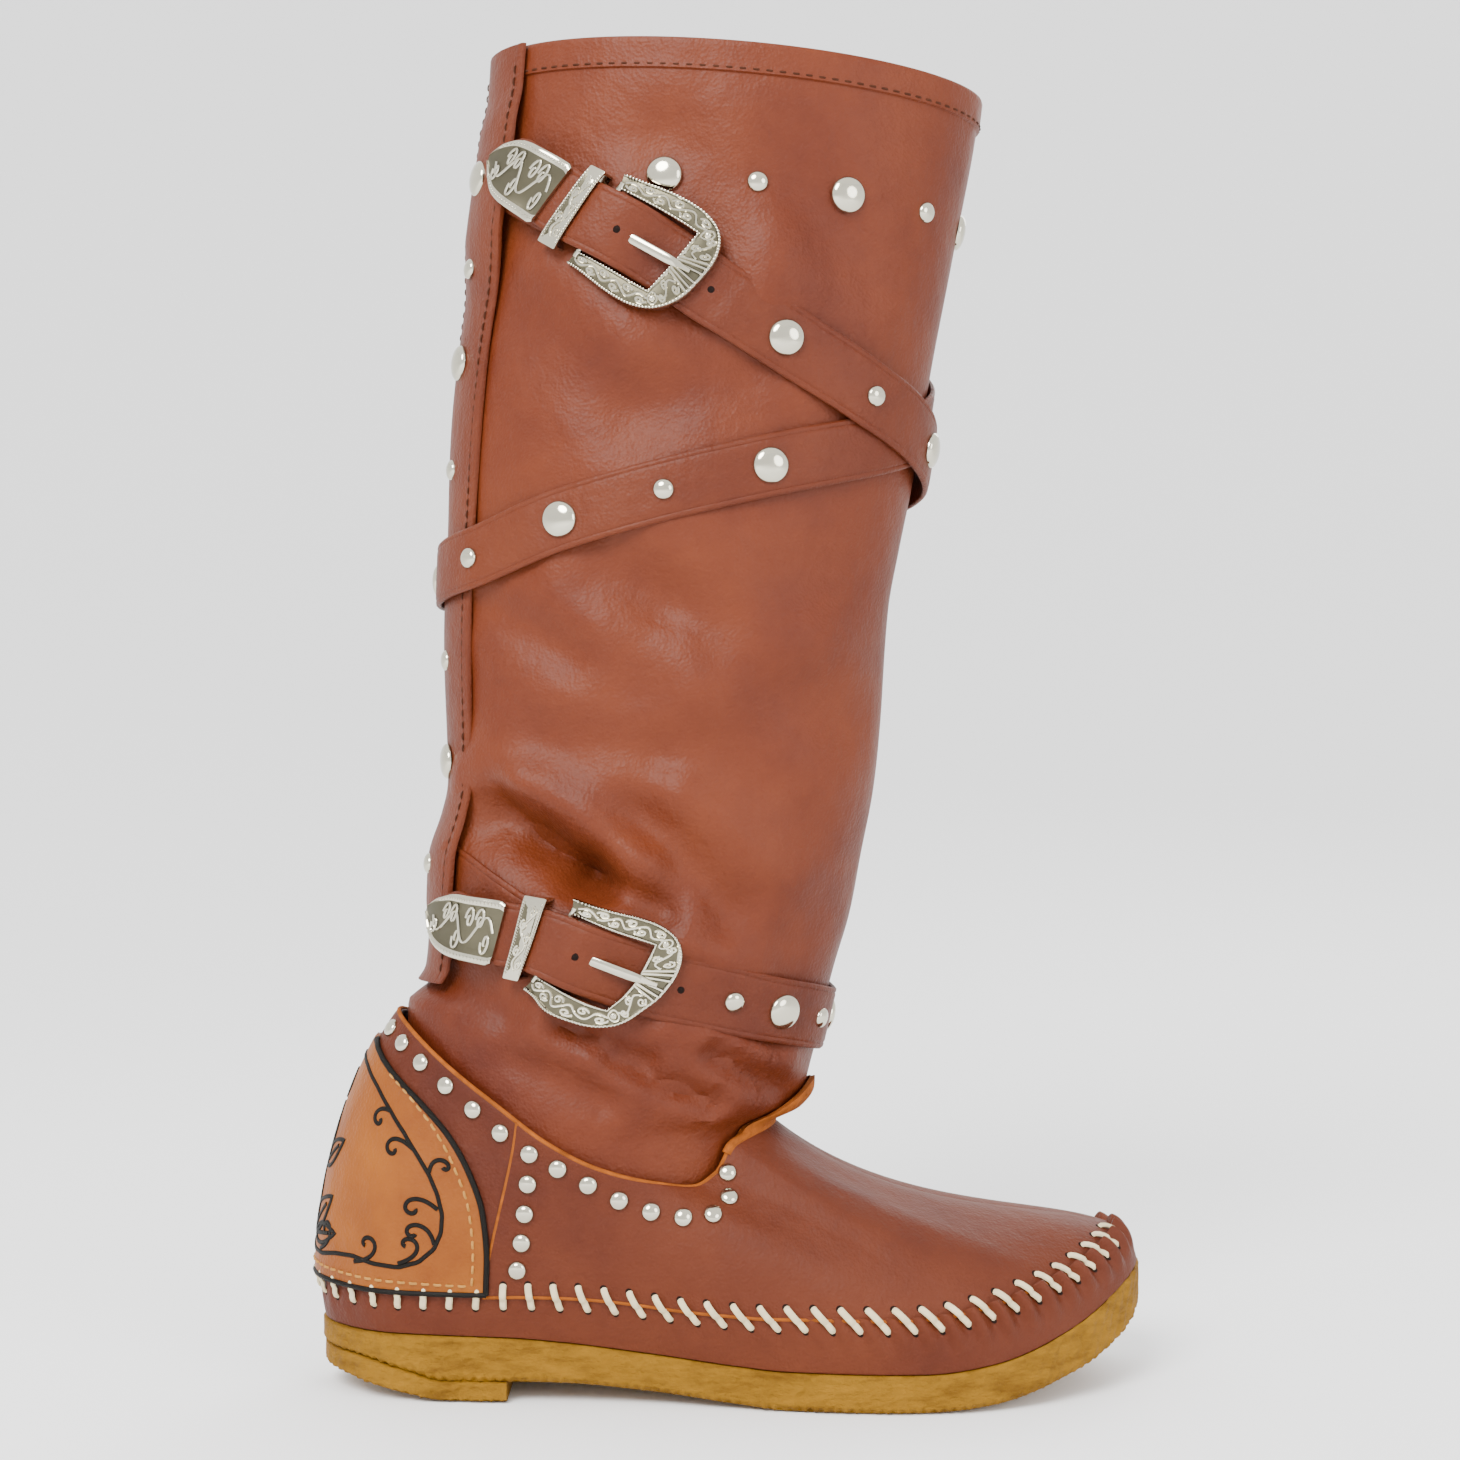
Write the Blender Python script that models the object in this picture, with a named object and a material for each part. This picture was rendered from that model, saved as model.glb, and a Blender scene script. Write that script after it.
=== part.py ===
"""Moccasin boot for the right foot: crepe sole, hollow foot, leather shaft, two buckled straps.

World frame: +X runs to the toe, -Y is the lateral side, +Z is up. The origin lies on the
floor, under the middle of the heel's flat spot. Lengths are in metres, angles in degrees.
Angles round the shaft run counter-clockwise seen from above: 0 is the front, 90 the medial
side, 180 the back and 270 the lateral side.
"""
import math

import bmesh
import bpy
import numpy as np

# Driving sizes of the boot
SOLE_LENGTH = 0.258
BALL_WIDTH = 0.090
BOOT_HEIGHT = 0.414
SHAFT_HALF_WIDTH = 0.047
CLEARANCE = 0.0003

# Sole
OUTSOLE_TOP = 0.036
HEEL_LIFT_BREAST = 0.060
HEEL_SPOT_CENTRE = 0.049
SOLE_EDGE_ROUND = 0.0012
INSOLE_THICKNESS = 0.0030
INSOLE_INSET = 0.0062

# Foot part of the upper
UPPER_WALL = 0.0016
FEATHER_INSET = 0.0006
VAMP_STEP = 0.0012
QUARTER_STEP = 0.0007
VAMP_REAR = 0.113
PATCH_THICKNESS = 0.0012
PATCH_CLEARANCE = 0.0028
PATCH_BOTTOM = 0.020
PATCH_TOP = 0.870

# Shaft
SHAFT_WALL = 0.0016
SHAFT_TUCK = 0.012
SHAFT_TO_UPPER = 0.0011
COLLAR_DROP = 0.013
COLLAR_CROWN = 0.0020
HEM_WIDTH = 0.009
HEM_STEP = 0.0008

# Back strip
STRIP_WIDTH = 0.029
STRIP_THICKNESS = 0.0015
STRIP_BOTTOM = 0.126

# Straps, buckles and studs
STRAP_WIDTH = 0.019
STRAP_THICKNESS = 0.0018
STRAP_FOLD_THICKNESS = 0.0010
STRAP_CLEARANCE = 0.0007
STRAP_POINT_LENGTH = 0.008
FRAME_LENGTH = 0.0355
FRAME_WIDTH = 0.033
FRAME_THICKNESS = 0.0025
FRAME_END_WIDTH = 0.0100
BAR_RADIUS = 0.0010
BAR_OUT = 0.0039
WRAP_BAR_ANGLE = 243.0
WRAP_END_DRIFT = 0.005
ANKLE_BAR_ANGLE = 247.5
ANKLE_END_DRIFT = -0.0095
PRONG_THICKNESS = 0.0010
PRONG_WIDTH = 0.0028
PRONG_SLOT = 0.0038
KEEPER_WIDTH = 0.0060
KEEPER_THICKNESS = 0.0009
KEEPER_FROM_BAR = 0.0085
KEEPER_SIDE_ROOM = 0.0022
TIP_LENGTH = 0.026
TIP_THICKNESS = 0.0013
TIP_FROM_BAR = 0.0160
BIG_STUD_RADIUS = 0.0055
BIG_STUD_HEIGHT = 0.0026
STUD_CLEARANCE = 0.0005
STUD_SINK = 0.6
WRAP_STUD_PITCH = 0.0323
ANKLE_STUD_PITCH = 0.0175
COLLAR_STUD_DROP = 0.0405
COLLAR_STUD_SHARE = 0.0735
COLLAR_BIG_STUDS = 5
COLLAR_STUD_MARK = 256.0
STRIP_STUD_LEVELS = (0.905, 0.768, 0.469)
WRAP_STUD_MARK = -69.0
ANKLE_STUD_MARK = -39.0
WRAP_CROSSING = (-55.0, 35.0)
STUDS_FROM_BAR = 0.080
STUDS_TO_BAR = 0.046

# Fineness of the meshes
FOOT_COLUMNS = 26
STRAP_STEP = 0.009
BUCKLE_STEP = 0.0032
FRAME_STATIONS = 22
STUD_SIDES = 10
EYE_STATIONS = 12
STRIP_ROWS = 22


def table(names, *rows):
    """A table with named columns: one array for each column."""
    return {name: np.array(column) for name, column in zip(names.split(), zip(*rows))}


# Plan of the sole: places along it as shares of its length, edges as shares of the ball width.
SOLE_PLAN = table(
    "along lateral medial",
    (0.00, 0.000, 0.000),
    (0.03, -0.200, 0.200),
    (0.10, -0.320, 0.320),
    (0.20, -0.350, 0.345),
    (0.30, -0.360, 0.330),
    (0.40, -0.380, 0.320),
    (0.50, -0.430, 0.360),
    (0.60, -0.480, 0.430),
    (0.68, -0.500, 0.480),
    (0.76, -0.485, 0.500),
    (0.84, -0.420, 0.490),
    (0.92, -0.280, 0.430),
    (0.97, -0.130, 0.330),
    (1.00, 0.120, 0.120))

# Side view of the sole: heights as shares of the toe's height above the floor.
SOLE_SIDE = table(
    "along top bottom lift_bottom",
    (0.00, 0.570, 0.380, 0.200),
    (0.06, 0.562, 0.340, 0.120),
    (0.12, 0.555, 0.235, 0.040),
    (0.155, 0.550, 0.172, 0.000),
    (0.235, 0.535, 0.172, 0.000),
    (0.30, 0.500, 0.165, 0.000),
    (0.40, 0.420, 0.110, 0.000),
    (0.50, 0.345, 0.035, 0.000),
    (0.56, 0.315, 0.000, 0.000),
    (0.72, 0.310, 0.000, 0.000),
    (0.80, 0.370, 0.040, 0.000),
    (0.90, 0.600, 0.220, 0.000),
    (0.96, 0.830, 0.400, 0.000),
    (1.00, 1.000, 0.620, 0.000))

# Shaft's outline: level as a share of the boot's height, back and front as shares of the
# sole's length from its heel end, half width as a share of the collar's.
SHAFT_SIDE = table(
    "level back front half_width",
    (0.110, 0.104, 0.512, 0.765),
    (0.165, 0.103, 0.525, 0.785),
    (0.197, 0.102, 0.534, 0.795),
    (0.208, 0.102, 0.566, 0.805),
    (0.222, 0.102, 0.585, 0.812),
    (0.242, 0.102, 0.594, 0.820),
    (0.287, 0.103, 0.611, 0.832),
    (0.301, 0.127, 0.617, 0.838),
    (0.315, 0.141, 0.623, 0.845),
    (0.355, 0.148, 0.642, 0.862),
    (0.401, 0.153, 0.656, 0.885),
    (0.447, 0.159, 0.670, 0.905),
    (0.493, 0.158, 0.678, 0.917),
    (0.585, 0.156, 0.689, 0.930),
    (0.630, 0.158, 0.702, 0.940),
    (0.676, 0.161, 0.717, 0.950),
    (0.766, 0.170, 0.741, 0.968),
    (0.857, 0.190, 0.769, 0.990),
    (0.950, 0.209, 0.797, 1.000),
    (1.010, 0.217, 0.808, 1.000))

# Top edge of the foot part: height as a share of the boot's, along the sole's length.
TOP_EDGE = table(
    "along level",
    (0.085, 0.290),
    (0.110, 0.276),
    (0.163, 0.248),
    (0.233, 0.216),
    (0.283, 0.193),
    (0.337, 0.175),
    (0.403, 0.162),
    (0.446, 0.157),
    (0.473, 0.166),
    (0.492, 0.186),
    (0.540, 0.197))

# Columns of the foot part from heel (0) to toe (0.5): turn round the top edge in degrees from
# the back, then the two handles of the column's curve. flare and rise leave the sole as shares
# of the ball width; reach is a share of the way back out to the sole's edge, drop a share of
# the column's height. seam is the lace seam's place on the curve.
FOOT_SIDE = table(
    "around turn flare rise reach drop seam",
    (0.000, 0.0, 0.060, 0.250, 0.760, 0.24, 0.160),
    (0.050, 33.0, 0.065, 0.240, 0.580, 0.26, 0.165),
    (0.113, 69.0, 0.075, 0.230, 0.150, 0.28, 0.200),
    (0.200, 97.0, 0.075, 0.230, 0.150, 0.26, 0.255),
    (0.300, 124.0, 0.055, 0.290, 0.420, 0.24, 0.235),
    (0.400, 151.0, 0.010, 0.300, 0.440, 0.46, 0.220),
    (0.450, 165.5, -0.020, 0.270, 0.420, 0.74, 0.205),
    (0.500, 180.0, -0.040, 0.250, 0.400, 0.93, 0.185))

# Soft hollows of the shaft: angle, level, half spans in degrees and as a share of the height,
# depth as a share of the collar's half width.
SHAFT_HOLLOWS = table(
    "angle level span tall depth",
    (246.0, 0.405, 26.0, 0.045, 0.100),
    (252.0, 0.915, 24.0, 0.040, 0.045),
    (226.0, 0.640, 18.0, 0.035, 0.035),
    (262.0, 0.590, 22.0, 0.030, 0.030),
    (96.0, 0.420, 30.0, 0.050, 0.060),
    (110.0, 0.880, 26.0, 0.045, 0.040))

# Route of the wrap strap's middle line: from its buckle round the back, twice round the shaft
# and up to the buckle again. Level is a share of the boot's height, lift a share of the
# strap's thickness.
WRAP_ROUTE = table(
    "angle level lift",
    (-448.0, 0.8068, 0.0),
    (-426.0, 0.7693, 0.0),
    (-412.0, 0.7480, 0.9),
    (-400.0, 0.7320, 1.30),
    (-360.0, 0.6957, 1.30),
    (-338.0, 0.6830, 0.7),
    (-320.0, 0.6740, 0.0),
    (-270.0, 0.6473, 0.0),
    (-212.0, 0.6140, 0.0),
    (-196.0, 0.6065, 1.25),
    (-150.0, 0.6180, 1.25),
    (-136.0, 0.6290, 0.0),
    (-120.0, 0.6440, 0.0),
    (-72.0, 0.6812, 0.0),
    (0.0, 0.7271, 0.0),
    (90.0, 0.8333, 0.0),
    (180.0, 0.9200, 0.0),
    (210.0, 0.9000, 0.0),
    (225.0, 0.8830, 0.2),
    (234.0, 0.8710, 0.6),
    (243.0, 0.8590, 0.6),
    (258.0, 0.8340, 0.0),
    (272.0, 0.8068, 0.0))

# Route of the ankle strap, once round.
ANKLE_ROUTE = table(
    "angle level lift",
    (-75.0, 0.3043, 0.0),
    (-39.0, 0.2850, 0.0),
    (0.0, 0.2740, 0.0),
    (90.0, 0.3330, 0.0),
    (180.0, 0.3940, 0.0),
    (205.0, 0.3810, 0.0),
    (220.0, 0.3660, 0.2),
    (236.0, 0.3475, 0.6),
    (247.5, 0.3370, 0.6),
    (262.0, 0.3220, 0.0),
    (285.0, 0.3043, 0.0))

# Where each strap's free end leaves its own first stretch behind the buckle: distance from the
# bar towards the point, then the height of its underside above the shaft.
WRAP_END = table(
    "past lift",
    (-0.0300, 0.0007),
    (-0.0235, 0.0007),
    (-0.0040, 0.0064),
    (0.0020, 0.0064),
    (0.0078, 0.0039),
    (0.0200, 0.0040),
    (0.0290, 0.0054),
    (0.0500, 0.0054))
ANKLE_END = table(
    "past lift",
    (-0.0300, 0.0007),
    (-0.0235, 0.0007),
    (-0.0040, 0.0064),
    (0.0020, 0.0064),
    (0.0078, 0.0042),
    (0.0190, 0.0052),
    (0.0270, 0.0068),
    (0.0500, 0.0068))

# Back strip: angle of its middle line, and how far its underside stands off the shaft.
STRIP_ROUTE = table(
    "level angle stand_off",
    (0.300, 188.0, 0.0028),
    (0.340, 188.0, 0.0030),
    (0.365, 188.0, 0.0044),
    (0.395, 188.5, 0.0046),
    (0.430, 189.0, 0.0020),
    (0.455, 189.5, 0.0006),
    (0.600, 191.0, 0.0006),
    (0.810, 194.0, 0.0006),
    (0.848, 195.0, 0.0024),
    (0.864, 195.0, 0.0031),
    (0.940, 195.0, 0.0031),
    (0.970, 195.0, 0.0018),
    (1.000, 195.0, 0.0018))

# Heel patch: half span round the foot at each share of its height.
PATCH_SHAPE = table(
    "up span",
    (0.00, 0.1146),
    (0.22, 0.112),
    (0.49, 0.104),
    (0.665, 0.0935),
    (0.82, 0.0785),
    (0.90, 0.0605),
    (0.935, 0.0380),
    (1.00, 0.003))

# Outline of the strap's metal tip: half width as a share of the strap's, along the tip.
TIP_SHAPE = table(
    "along wide",
    (0.00, 0.96),
    (0.06, 1.04),
    (0.50, 1.00),
    (0.68, 0.92),
    (0.86, 0.60),
    (1.00, 0.10))


def curve(rows, key, value):
    """Smooth curve through two columns of a table, which never swings past its rows."""
    places, heights = rows[key], rows[value]
    steps = np.diff(places)
    slopes = np.diff(heights) / steps
    tangents = np.concatenate((slopes[:1], np.zeros(len(steps) - 1), slopes[-1:]))
    for i in range(1, len(steps)):
        if slopes[i - 1] * slopes[i] > 0:
            tangents[i] = 2 * slopes[i - 1] * slopes[i] / (slopes[i - 1] + slopes[i])

    def at(place):
        i = int(np.clip(np.searchsorted(places, place) - 1, 0, len(steps) - 1))
        t = float(np.clip((place - places[i]) / steps[i], 0.0, 1.0))
        start, end = heights[i], heights[i + 1]
        bend = steps[i] * (t * (1 - t) ** 2 * tangents[i] - t * t * (1 - t) * tangents[i + 1])
        return float(start + (end - start) * t * t * (3 - 2 * t) + bend)

    return at


def ease(start, end, place):
    """Smooth step from 0 at start to 1 at end."""
    t = float(np.clip((place - start) / (end - start), 0.0, 1.0))
    return t * t * (3 - 2 * t)


def unit(vector):
    return vector / np.linalg.norm(vector)


sole_top_share = curve(SOLE_SIDE, "along", "top")
sole_bottom_share = curve(SOLE_SIDE, "along", "bottom")
lift_bottom_share = curve(SOLE_SIDE, "along", "lift_bottom")
shaft_back = curve(SHAFT_SIDE, "level", "back")
shaft_front = curve(SHAFT_SIDE, "level", "front")
shaft_half = curve(SHAFT_SIDE, "level", "half_width")
top_edge_level = curve(TOP_EDGE, "along", "level")
column = {name: curve(FOOT_SIDE, "around", name) for name in FOOT_SIDE if name != "around"}


def plan_curve(side):
    """Edge of the sole on one side, over the angle that makes both its ends round."""
    angles = np.arccos(1 - 2 * SOLE_PLAN["along"])
    return curve({"angle": angles, side: SOLE_PLAN[side]}, "angle", side)


lateral_edge = plan_curve("lateral")
medial_edge = plan_curve("medial")


def edge_y(along, side):
    """Sole edge's distance from the middle plane at a share of the length."""
    edge = lateral_edge if side < 0 else medial_edge
    return edge(math.acos(float(np.clip(1 - 2 * along, -1.0, 1.0)))) * BALL_WIDTH


def half_outline(side, count=160):
    """Points of one half of the sole's edge from heel to toe, with their arc shares."""
    shares = (1 - np.cos(np.linspace(0.0, math.pi, count))) / 2
    points = np.array([(s * SOLE_LENGTH - HEEL_SPOT_CENTRE, edge_y(s, side)) for s in shares])
    walked = np.concatenate(([0.0], np.cumsum(np.linalg.norm(np.diff(points, axis=0), axis=1))))
    return walked / walked[-1], points


HALVES = {-1: half_outline(-1), 1: half_outline(1)}


def sole_edge(around, side):
    """Point of the sole's edge and its outward direction; around is 0 at heel, 0.5 at toe."""
    shares, points = HALVES[side]

    def place(share):
        return np.array([np.interp(share, shares, points[:, i]) for i in (0, 1)])

    share = around / 0.5
    if share < 0.004:
        return place(0.0), np.array((-1.0, 0.0))
    if share > 0.996:
        return place(1.0), np.array((1.0, 0.0))
    along = unit(place(min(share + 0.02, 1.0)) - place(max(share - 0.02, 0.0)))
    outward = np.array((-along[1], along[0])) * side
    return place(share), outward


def sole_height(x, share):
    """Height of one of the sole's side curves at a world x."""
    return share((x + HEEL_SPOT_CENTRE) / SOLE_LENGTH) * OUTSOLE_TOP


def shaft_skin(angle, height, out=0.0):
    """Point of the shaft's smooth outer skin, moved outwards by out."""
    level = height / BOOT_HEIGHT
    back = shaft_back(level) * SOLE_LENGTH - HEEL_SPOT_CENTRE
    front = shaft_front(level) * SOLE_LENGTH - HEEL_SPOT_CENTRE
    half = shaft_half(level) * SHAFT_HALF_WIDTH
    reach = (front - back) / 2
    turn = math.radians(angle)
    outward = unit(np.array((math.cos(turn) / reach, math.sin(turn) / half)))
    x = (front + back) / 2 + reach * math.cos(turn) + outward[0] * out
    y = half * math.sin(turn) + outward[1] * out
    return np.array((x, y, height))


def degree_arc(angle, height):
    """Length of one degree round the shaft's skin."""
    return np.linalg.norm(shaft_skin(angle + 1, height) - shaft_skin(angle - 1, height)) / 2


def collar_height(angle):
    """Height of the collar's edge: lower at the front, a little crowned at the sides."""
    turn = math.radians(angle)
    fall = COLLAR_DROP * (1 + math.cos(turn)) / 2
    return BOOT_HEIGHT - fall + COLLAR_CROWN * (math.sin(turn) ** 2) / 2


def top_edge(angle):
    """Height of the foot part's top edge where it meets the shaft at this angle."""
    height = 0.2 * BOOT_HEIGHT
    for _ in range(12):
        along = (shaft_skin(angle, height)[0] + HEEL_SPOT_CENTRE) / SOLE_LENGTH
        height += 0.5 * (top_edge_level(along) * BOOT_HEIGHT - height)
    return height


def foot_column(around, side):
    """The four handles of one column of the foot, from the sole's edge to the top edge."""
    edge, outward = sole_edge(around, side)
    edge = edge - outward * FEATHER_INSET
    foot = np.array((edge[0], edge[1], sole_height(edge[0], sole_top_share) + CLEARANCE))
    angle = 180.0 - side * column["turn"](around)
    stand_off = SHAFT_TO_UPPER + UPPER_WALL
    top = shaft_skin(angle, top_edge(angle), stand_off)
    flare = outward * column["flare"](around)
    low = foot + np.array((*flare, column["rise"](around))) * BALL_WIDTH
    reach = column["reach"](around)
    high = top + (foot - top) * np.array((reach, reach, 0.0))
    high[2] -= column["drop"](around) * (top[2] - foot[2])
    return foot, low, high, top


def foot_point(around, side, up):
    """Point on the foot's base skin; up runs from 0 at the sole to 1 at the top edge."""
    a, b, c, d = foot_column(around, side)
    down = 1 - up
    return a * down ** 3 + b * 3 * up * down ** 2 + c * 3 * up ** 2 * down + d * up ** 3


def signed_point(place, up):
    """The same with one signed place: lateral side below 0, medial side above."""
    wrapped = (place + 0.5) % 1.0 - 0.5
    return foot_point(abs(wrapped), -1 if wrapped < 0 else 1, up)


def foot_skin(place, up, out):
    """Point of the foot's skin moved along its normal."""
    across = signed_point(place + 0.006, up) - signed_point(place - 0.006, up)
    low, high = max(up - 0.02, 0.0), min(up + 0.02, 1.0)
    along = signed_point(place, high) - signed_point(place, low)
    return signed_point(place, up) - unit(np.cross(across, along)) * out


def loft(rings, loop=False):
    """Mesh through rings of points; a loop joins last to first, else both ends are capped."""
    mesh = bmesh.new()
    rows = [[mesh.verts.new(point) for point in ring] for ring in rings]
    pairs = list(zip(rows, rows[1:] + rows[:1])) if loop else list(zip(rows, rows[1:]))
    for first, second in pairs:
        for i in range(len(first)):
            j = (i + 1) % len(first)
            mesh.faces.new((first[i], first[j], second[j], second[i]))
    if not loop:
        mesh.faces.new(rows[0])
        mesh.faces.new(rows[-1])
    bmesh.ops.recalc_face_normals(mesh, faces=mesh.faces)
    return mesh


def material(name, colour, roughness, metallic=0.0):
    made = bpy.data.materials.new(name)
    made.use_nodes = True
    shader = made.node_tree.nodes["Principled BSDF"]
    shader.inputs["Base Color"].default_value = (*colour, 1.0)
    shader.inputs["Roughness"].default_value = roughness
    shader.inputs["Metallic"].default_value = metallic
    return made


def add_object(name, mesh, finish, smooth=True, where=None):
    """New object from a bmesh, in the boot's collection unless another is given."""
    data = bpy.data.meshes.new(name)
    mesh.to_mesh(data)
    mesh.free()
    if smooth:
        data.shade_smooth()
        data.set_sharp_from_angle(angle=math.radians(35))
    made = bpy.data.objects.new(name, data)
    data.materials.append(finish)
    (where or BOOT).objects.link(made)
    return made


def foot_places():
    """Places round the foot: even columns, with a close pair at each rear edge of the vamp."""
    half = list(np.linspace(0.0, 0.5, FOOT_COLUMNS + 1))
    half = [place for place in half if abs(place - VAMP_REAR) > 0.005]
    half += [VAMP_REAR - 0.0015, VAMP_REAR + 0.0015]
    half.sort()
    return [-place for place in reversed(half[1:-1])] + half


def layer_step(place, above_seam):
    """How far the outer leather stands proud of the moccasin's bottom piece."""
    if not above_seam:
        return 0.0
    return VAMP_STEP if abs(place) > VAMP_REAR else QUARTER_STEP


def make_outsole(finish):
    sections = (1 - np.cos(np.linspace(0.055, math.pi - 0.055, 40))) / 2
    rings = [sole_section(s, sole_bottom_share, sole_top_share, 0.0) for s in sections]
    return add_object("outsole", loft(rings), finish)


def sole_section(along, bottom, top, inset):
    """Cross-section of a sole layer: a flat slab with its edges eased."""
    x = along * SOLE_LENGTH - HEEL_SPOT_CENTRE
    left = edge_y(along, -1) + inset
    right = edge_y(along, 1) - inset
    low, high = bottom(along) * OUTSOLE_TOP, top(along) * OUTSOLE_TOP
    ease_in = min(SOLE_EDGE_ROUND, (right - left) / 4)
    corners = (
        (left + ease_in, low), (right - ease_in, low), (right, low + SOLE_EDGE_ROUND),
        (right, high - SOLE_EDGE_ROUND / 2), (right - ease_in / 2, high),
        (left + ease_in / 2, high), (left, high - SOLE_EDGE_ROUND / 2),
        (left, low + SOLE_EDGE_ROUND))
    return [(x, y, z) for y, z in corners]


def make_heel_lift(finish):
    first = 0.016
    last = HEEL_LIFT_BREAST / SOLE_LENGTH
    shares = first + (last - first) * (1 - np.cos(np.linspace(0.0, math.pi / 2, 14)))
    gap = CLEARANCE / OUTSOLE_TOP

    def roof(along):
        return sole_bottom_share(along) - gap

    rings = [sole_section(s, lift_bottom_share, roof, SOLE_EDGE_ROUND / 2) for s in shares]
    return add_object("heel_lift", loft(rings), finish)


def make_insole(finish):
    inset = INSOLE_INSET / SOLE_LENGTH
    shares = inset + (1 - 2 * inset) * (1 - np.cos(np.linspace(0.16, math.pi - 0.16, 26))) / 2
    rings = []
    for s in shares:
        x = s * SOLE_LENGTH - HEEL_SPOT_CENTRE
        left, right = edge_y(s, -1) + INSOLE_INSET, edge_y(s, 1) - INSOLE_INSET
        low = sole_top_share(s) * OUTSOLE_TOP + CLEARANCE
        high = low + INSOLE_THICKNESS
        rings.append([(x, left, low), (x, right, low), (x, right, high), (x, left, high)])
    return add_object("insole", loft(rings), finish)


def make_upper(finish):
    """The foot part: one shell from the sole's edge to the top edge, with its laps as steps."""
    places = foot_places()
    below = (0.0, 0.35, 0.70, 0.985)
    above = (0.015, 0.10, 0.22, 0.36, 0.52, 0.68, 0.84, 1.0)
    rings = []
    for share in below:
        rings.append([foot_skin(p, column["seam"](abs(p)) * share, 0.0) for p in places])
    for share in above:
        ring = []
        for p in places:
            seam = column["seam"](abs(p))
            ring.append(foot_skin(p, seam + (1 - seam) * share, layer_step(p, True)))
        rings.append(ring)
    inside = (1.0, 0.84, 0.68, 0.52, 0.36, 0.22, 0.10)
    for share in inside:
        ring = []
        for p in places:
            seam = column["seam"](abs(p))
            ring.append(foot_skin(p, seam + (1 - seam) * share, -UPPER_WALL))
        rings.append(ring)
    for share in (1.0, 0.70, 0.35, 0.0):
        rings.append([foot_skin(p, column["seam"](abs(p)) * share, -UPPER_WALL) for p in places])
    for ring, edge in ((rings[0], 0.0), (rings[-1], 0.0)):
        level_edge(ring, edge)
    return add_object("upper", loft(rings, loop=True), finish)


def level_edge(ring, gap):
    """Set a bottom edge on the sole's top, with the common clearance."""
    for point in ring:
        point[2] = sole_height(point[0], sole_top_share) + CLEARANCE + gap


def hollow_depth(angle, height):
    """How far the shaft's soft hollows push its skin in."""
    depth = 0.0
    for i in range(len(SHAFT_HOLLOWS["angle"])):
        turn = (angle - SHAFT_HOLLOWS["angle"][i] + 180.0) % 360.0 - 180.0
        across = turn / SHAFT_HOLLOWS["span"][i]
        up = (height / BOOT_HEIGHT - SHAFT_HOLLOWS["level"][i]) / SHAFT_HOLLOWS["tall"][i]
        depth += SHAFT_HOLLOWS["depth"][i] * SHAFT_HALF_WIDTH * math.exp(-across ** 2 - up ** 2)
    return depth


def make_shaft(finish):
    """The leg: a soft tube tucked into the foot part, with a folded hem at the collar."""
    angles = []
    for place in foot_places()[::2]:
        side = -1 if place < 0 else 1
        angles.append(180.0 - side * column["turn"](abs(place)))
    body = (0.0, 0.035, 0.055, 0.085, 0.13, 0.18, 0.24, 0.30, 0.37, 0.44, 0.52, 0.60, 0.68,
            0.76, 0.84, 0.92)
    hem = (0.0, 0.1, 1.0)
    rings = []
    for skin in (0.0, -SHAFT_WALL):
        rows = []
        for rise in body:
            rows.append([shaft_body_point(angle, rise, skin) for angle in angles])
        for i, share in enumerate(hem):
            out = skin + HEM_STEP if skin == 0.0 and i > 0 else skin
            rows.append([shaft_hem_point(angle, share, out) for angle in angles])
        rings += rows if skin == 0.0 else rows[::-1]
    return add_object("shaft", loft(rings, loop=True), finish)


def shaft_body_point(angle, rise, skin):
    """Point of the shaft's wall, from its tucked bottom edge (0) to the collar (1)."""
    bottom = top_edge(angle) - SHAFT_TUCK
    height = bottom + (collar_height(angle) - bottom) * rise
    out = skin - hollow_depth(angle, height) * ease(0.0, 0.12, rise)
    return shaft_skin(angle, height, out)


def shaft_hem_point(angle, share, out):
    """Point of the folded hem, from its lower edge (0) to the collar's edge (1)."""
    height = collar_height(angle) - HEM_WIDTH * (1 - share)
    return shaft_skin(angle, height, out - hollow_depth(angle, height))


def make_heel_patch(finish):
    half_span = curve(PATCH_SHAPE, "up", "span")
    under = QUARTER_STEP + PATCH_CLEARANCE
    rings = []
    for up in 1 - np.linspace(1.0, 0.0, 12) ** 1.6:
        height = PATCH_BOTTOM + (PATCH_TOP - PATCH_BOTTOM) * up
        spread = np.linspace(-half_span(up), half_span(up), 17)
        outer, inner = [], []
        for place in spread:
            seam = column["seam"](abs(place))
            rise = seam + (1 - seam) * height
            outer.append(foot_skin(place, rise, under + PATCH_THICKNESS))
            inner.append(foot_skin(place, rise, under))
        rings.append(outer + inner[::-1])
    return add_object("heel_patch", loft(rings), finish)


def make_back_strip(finish):
    middle = curve(STRIP_ROUTE, "level", "angle")
    stand_off = curve(STRIP_ROUTE, "level", "stand_off")
    top = collar_height(195.0) - CLEARANCE
    rings = []
    for height in np.linspace(STRIP_BOTTOM, top, STRIP_ROWS):
        level = height / BOOT_HEIGHT
        half_turn = STRIP_WIDTH / 2 / degree_arc(middle(level), height)
        outer, inner = [], []
        for share in np.linspace(-1.0, 1.0, 7):
            angle = middle(level) + half_turn * share
            under = stand_off(level)
            outer.append(shaft_skin(angle, height, under + STRIP_THICKNESS))
            inner.append(shaft_skin(angle, height, under))
        rings.append(outer + inner[::-1])
    return add_object("back_strip", loft(rings), finish)


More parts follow.
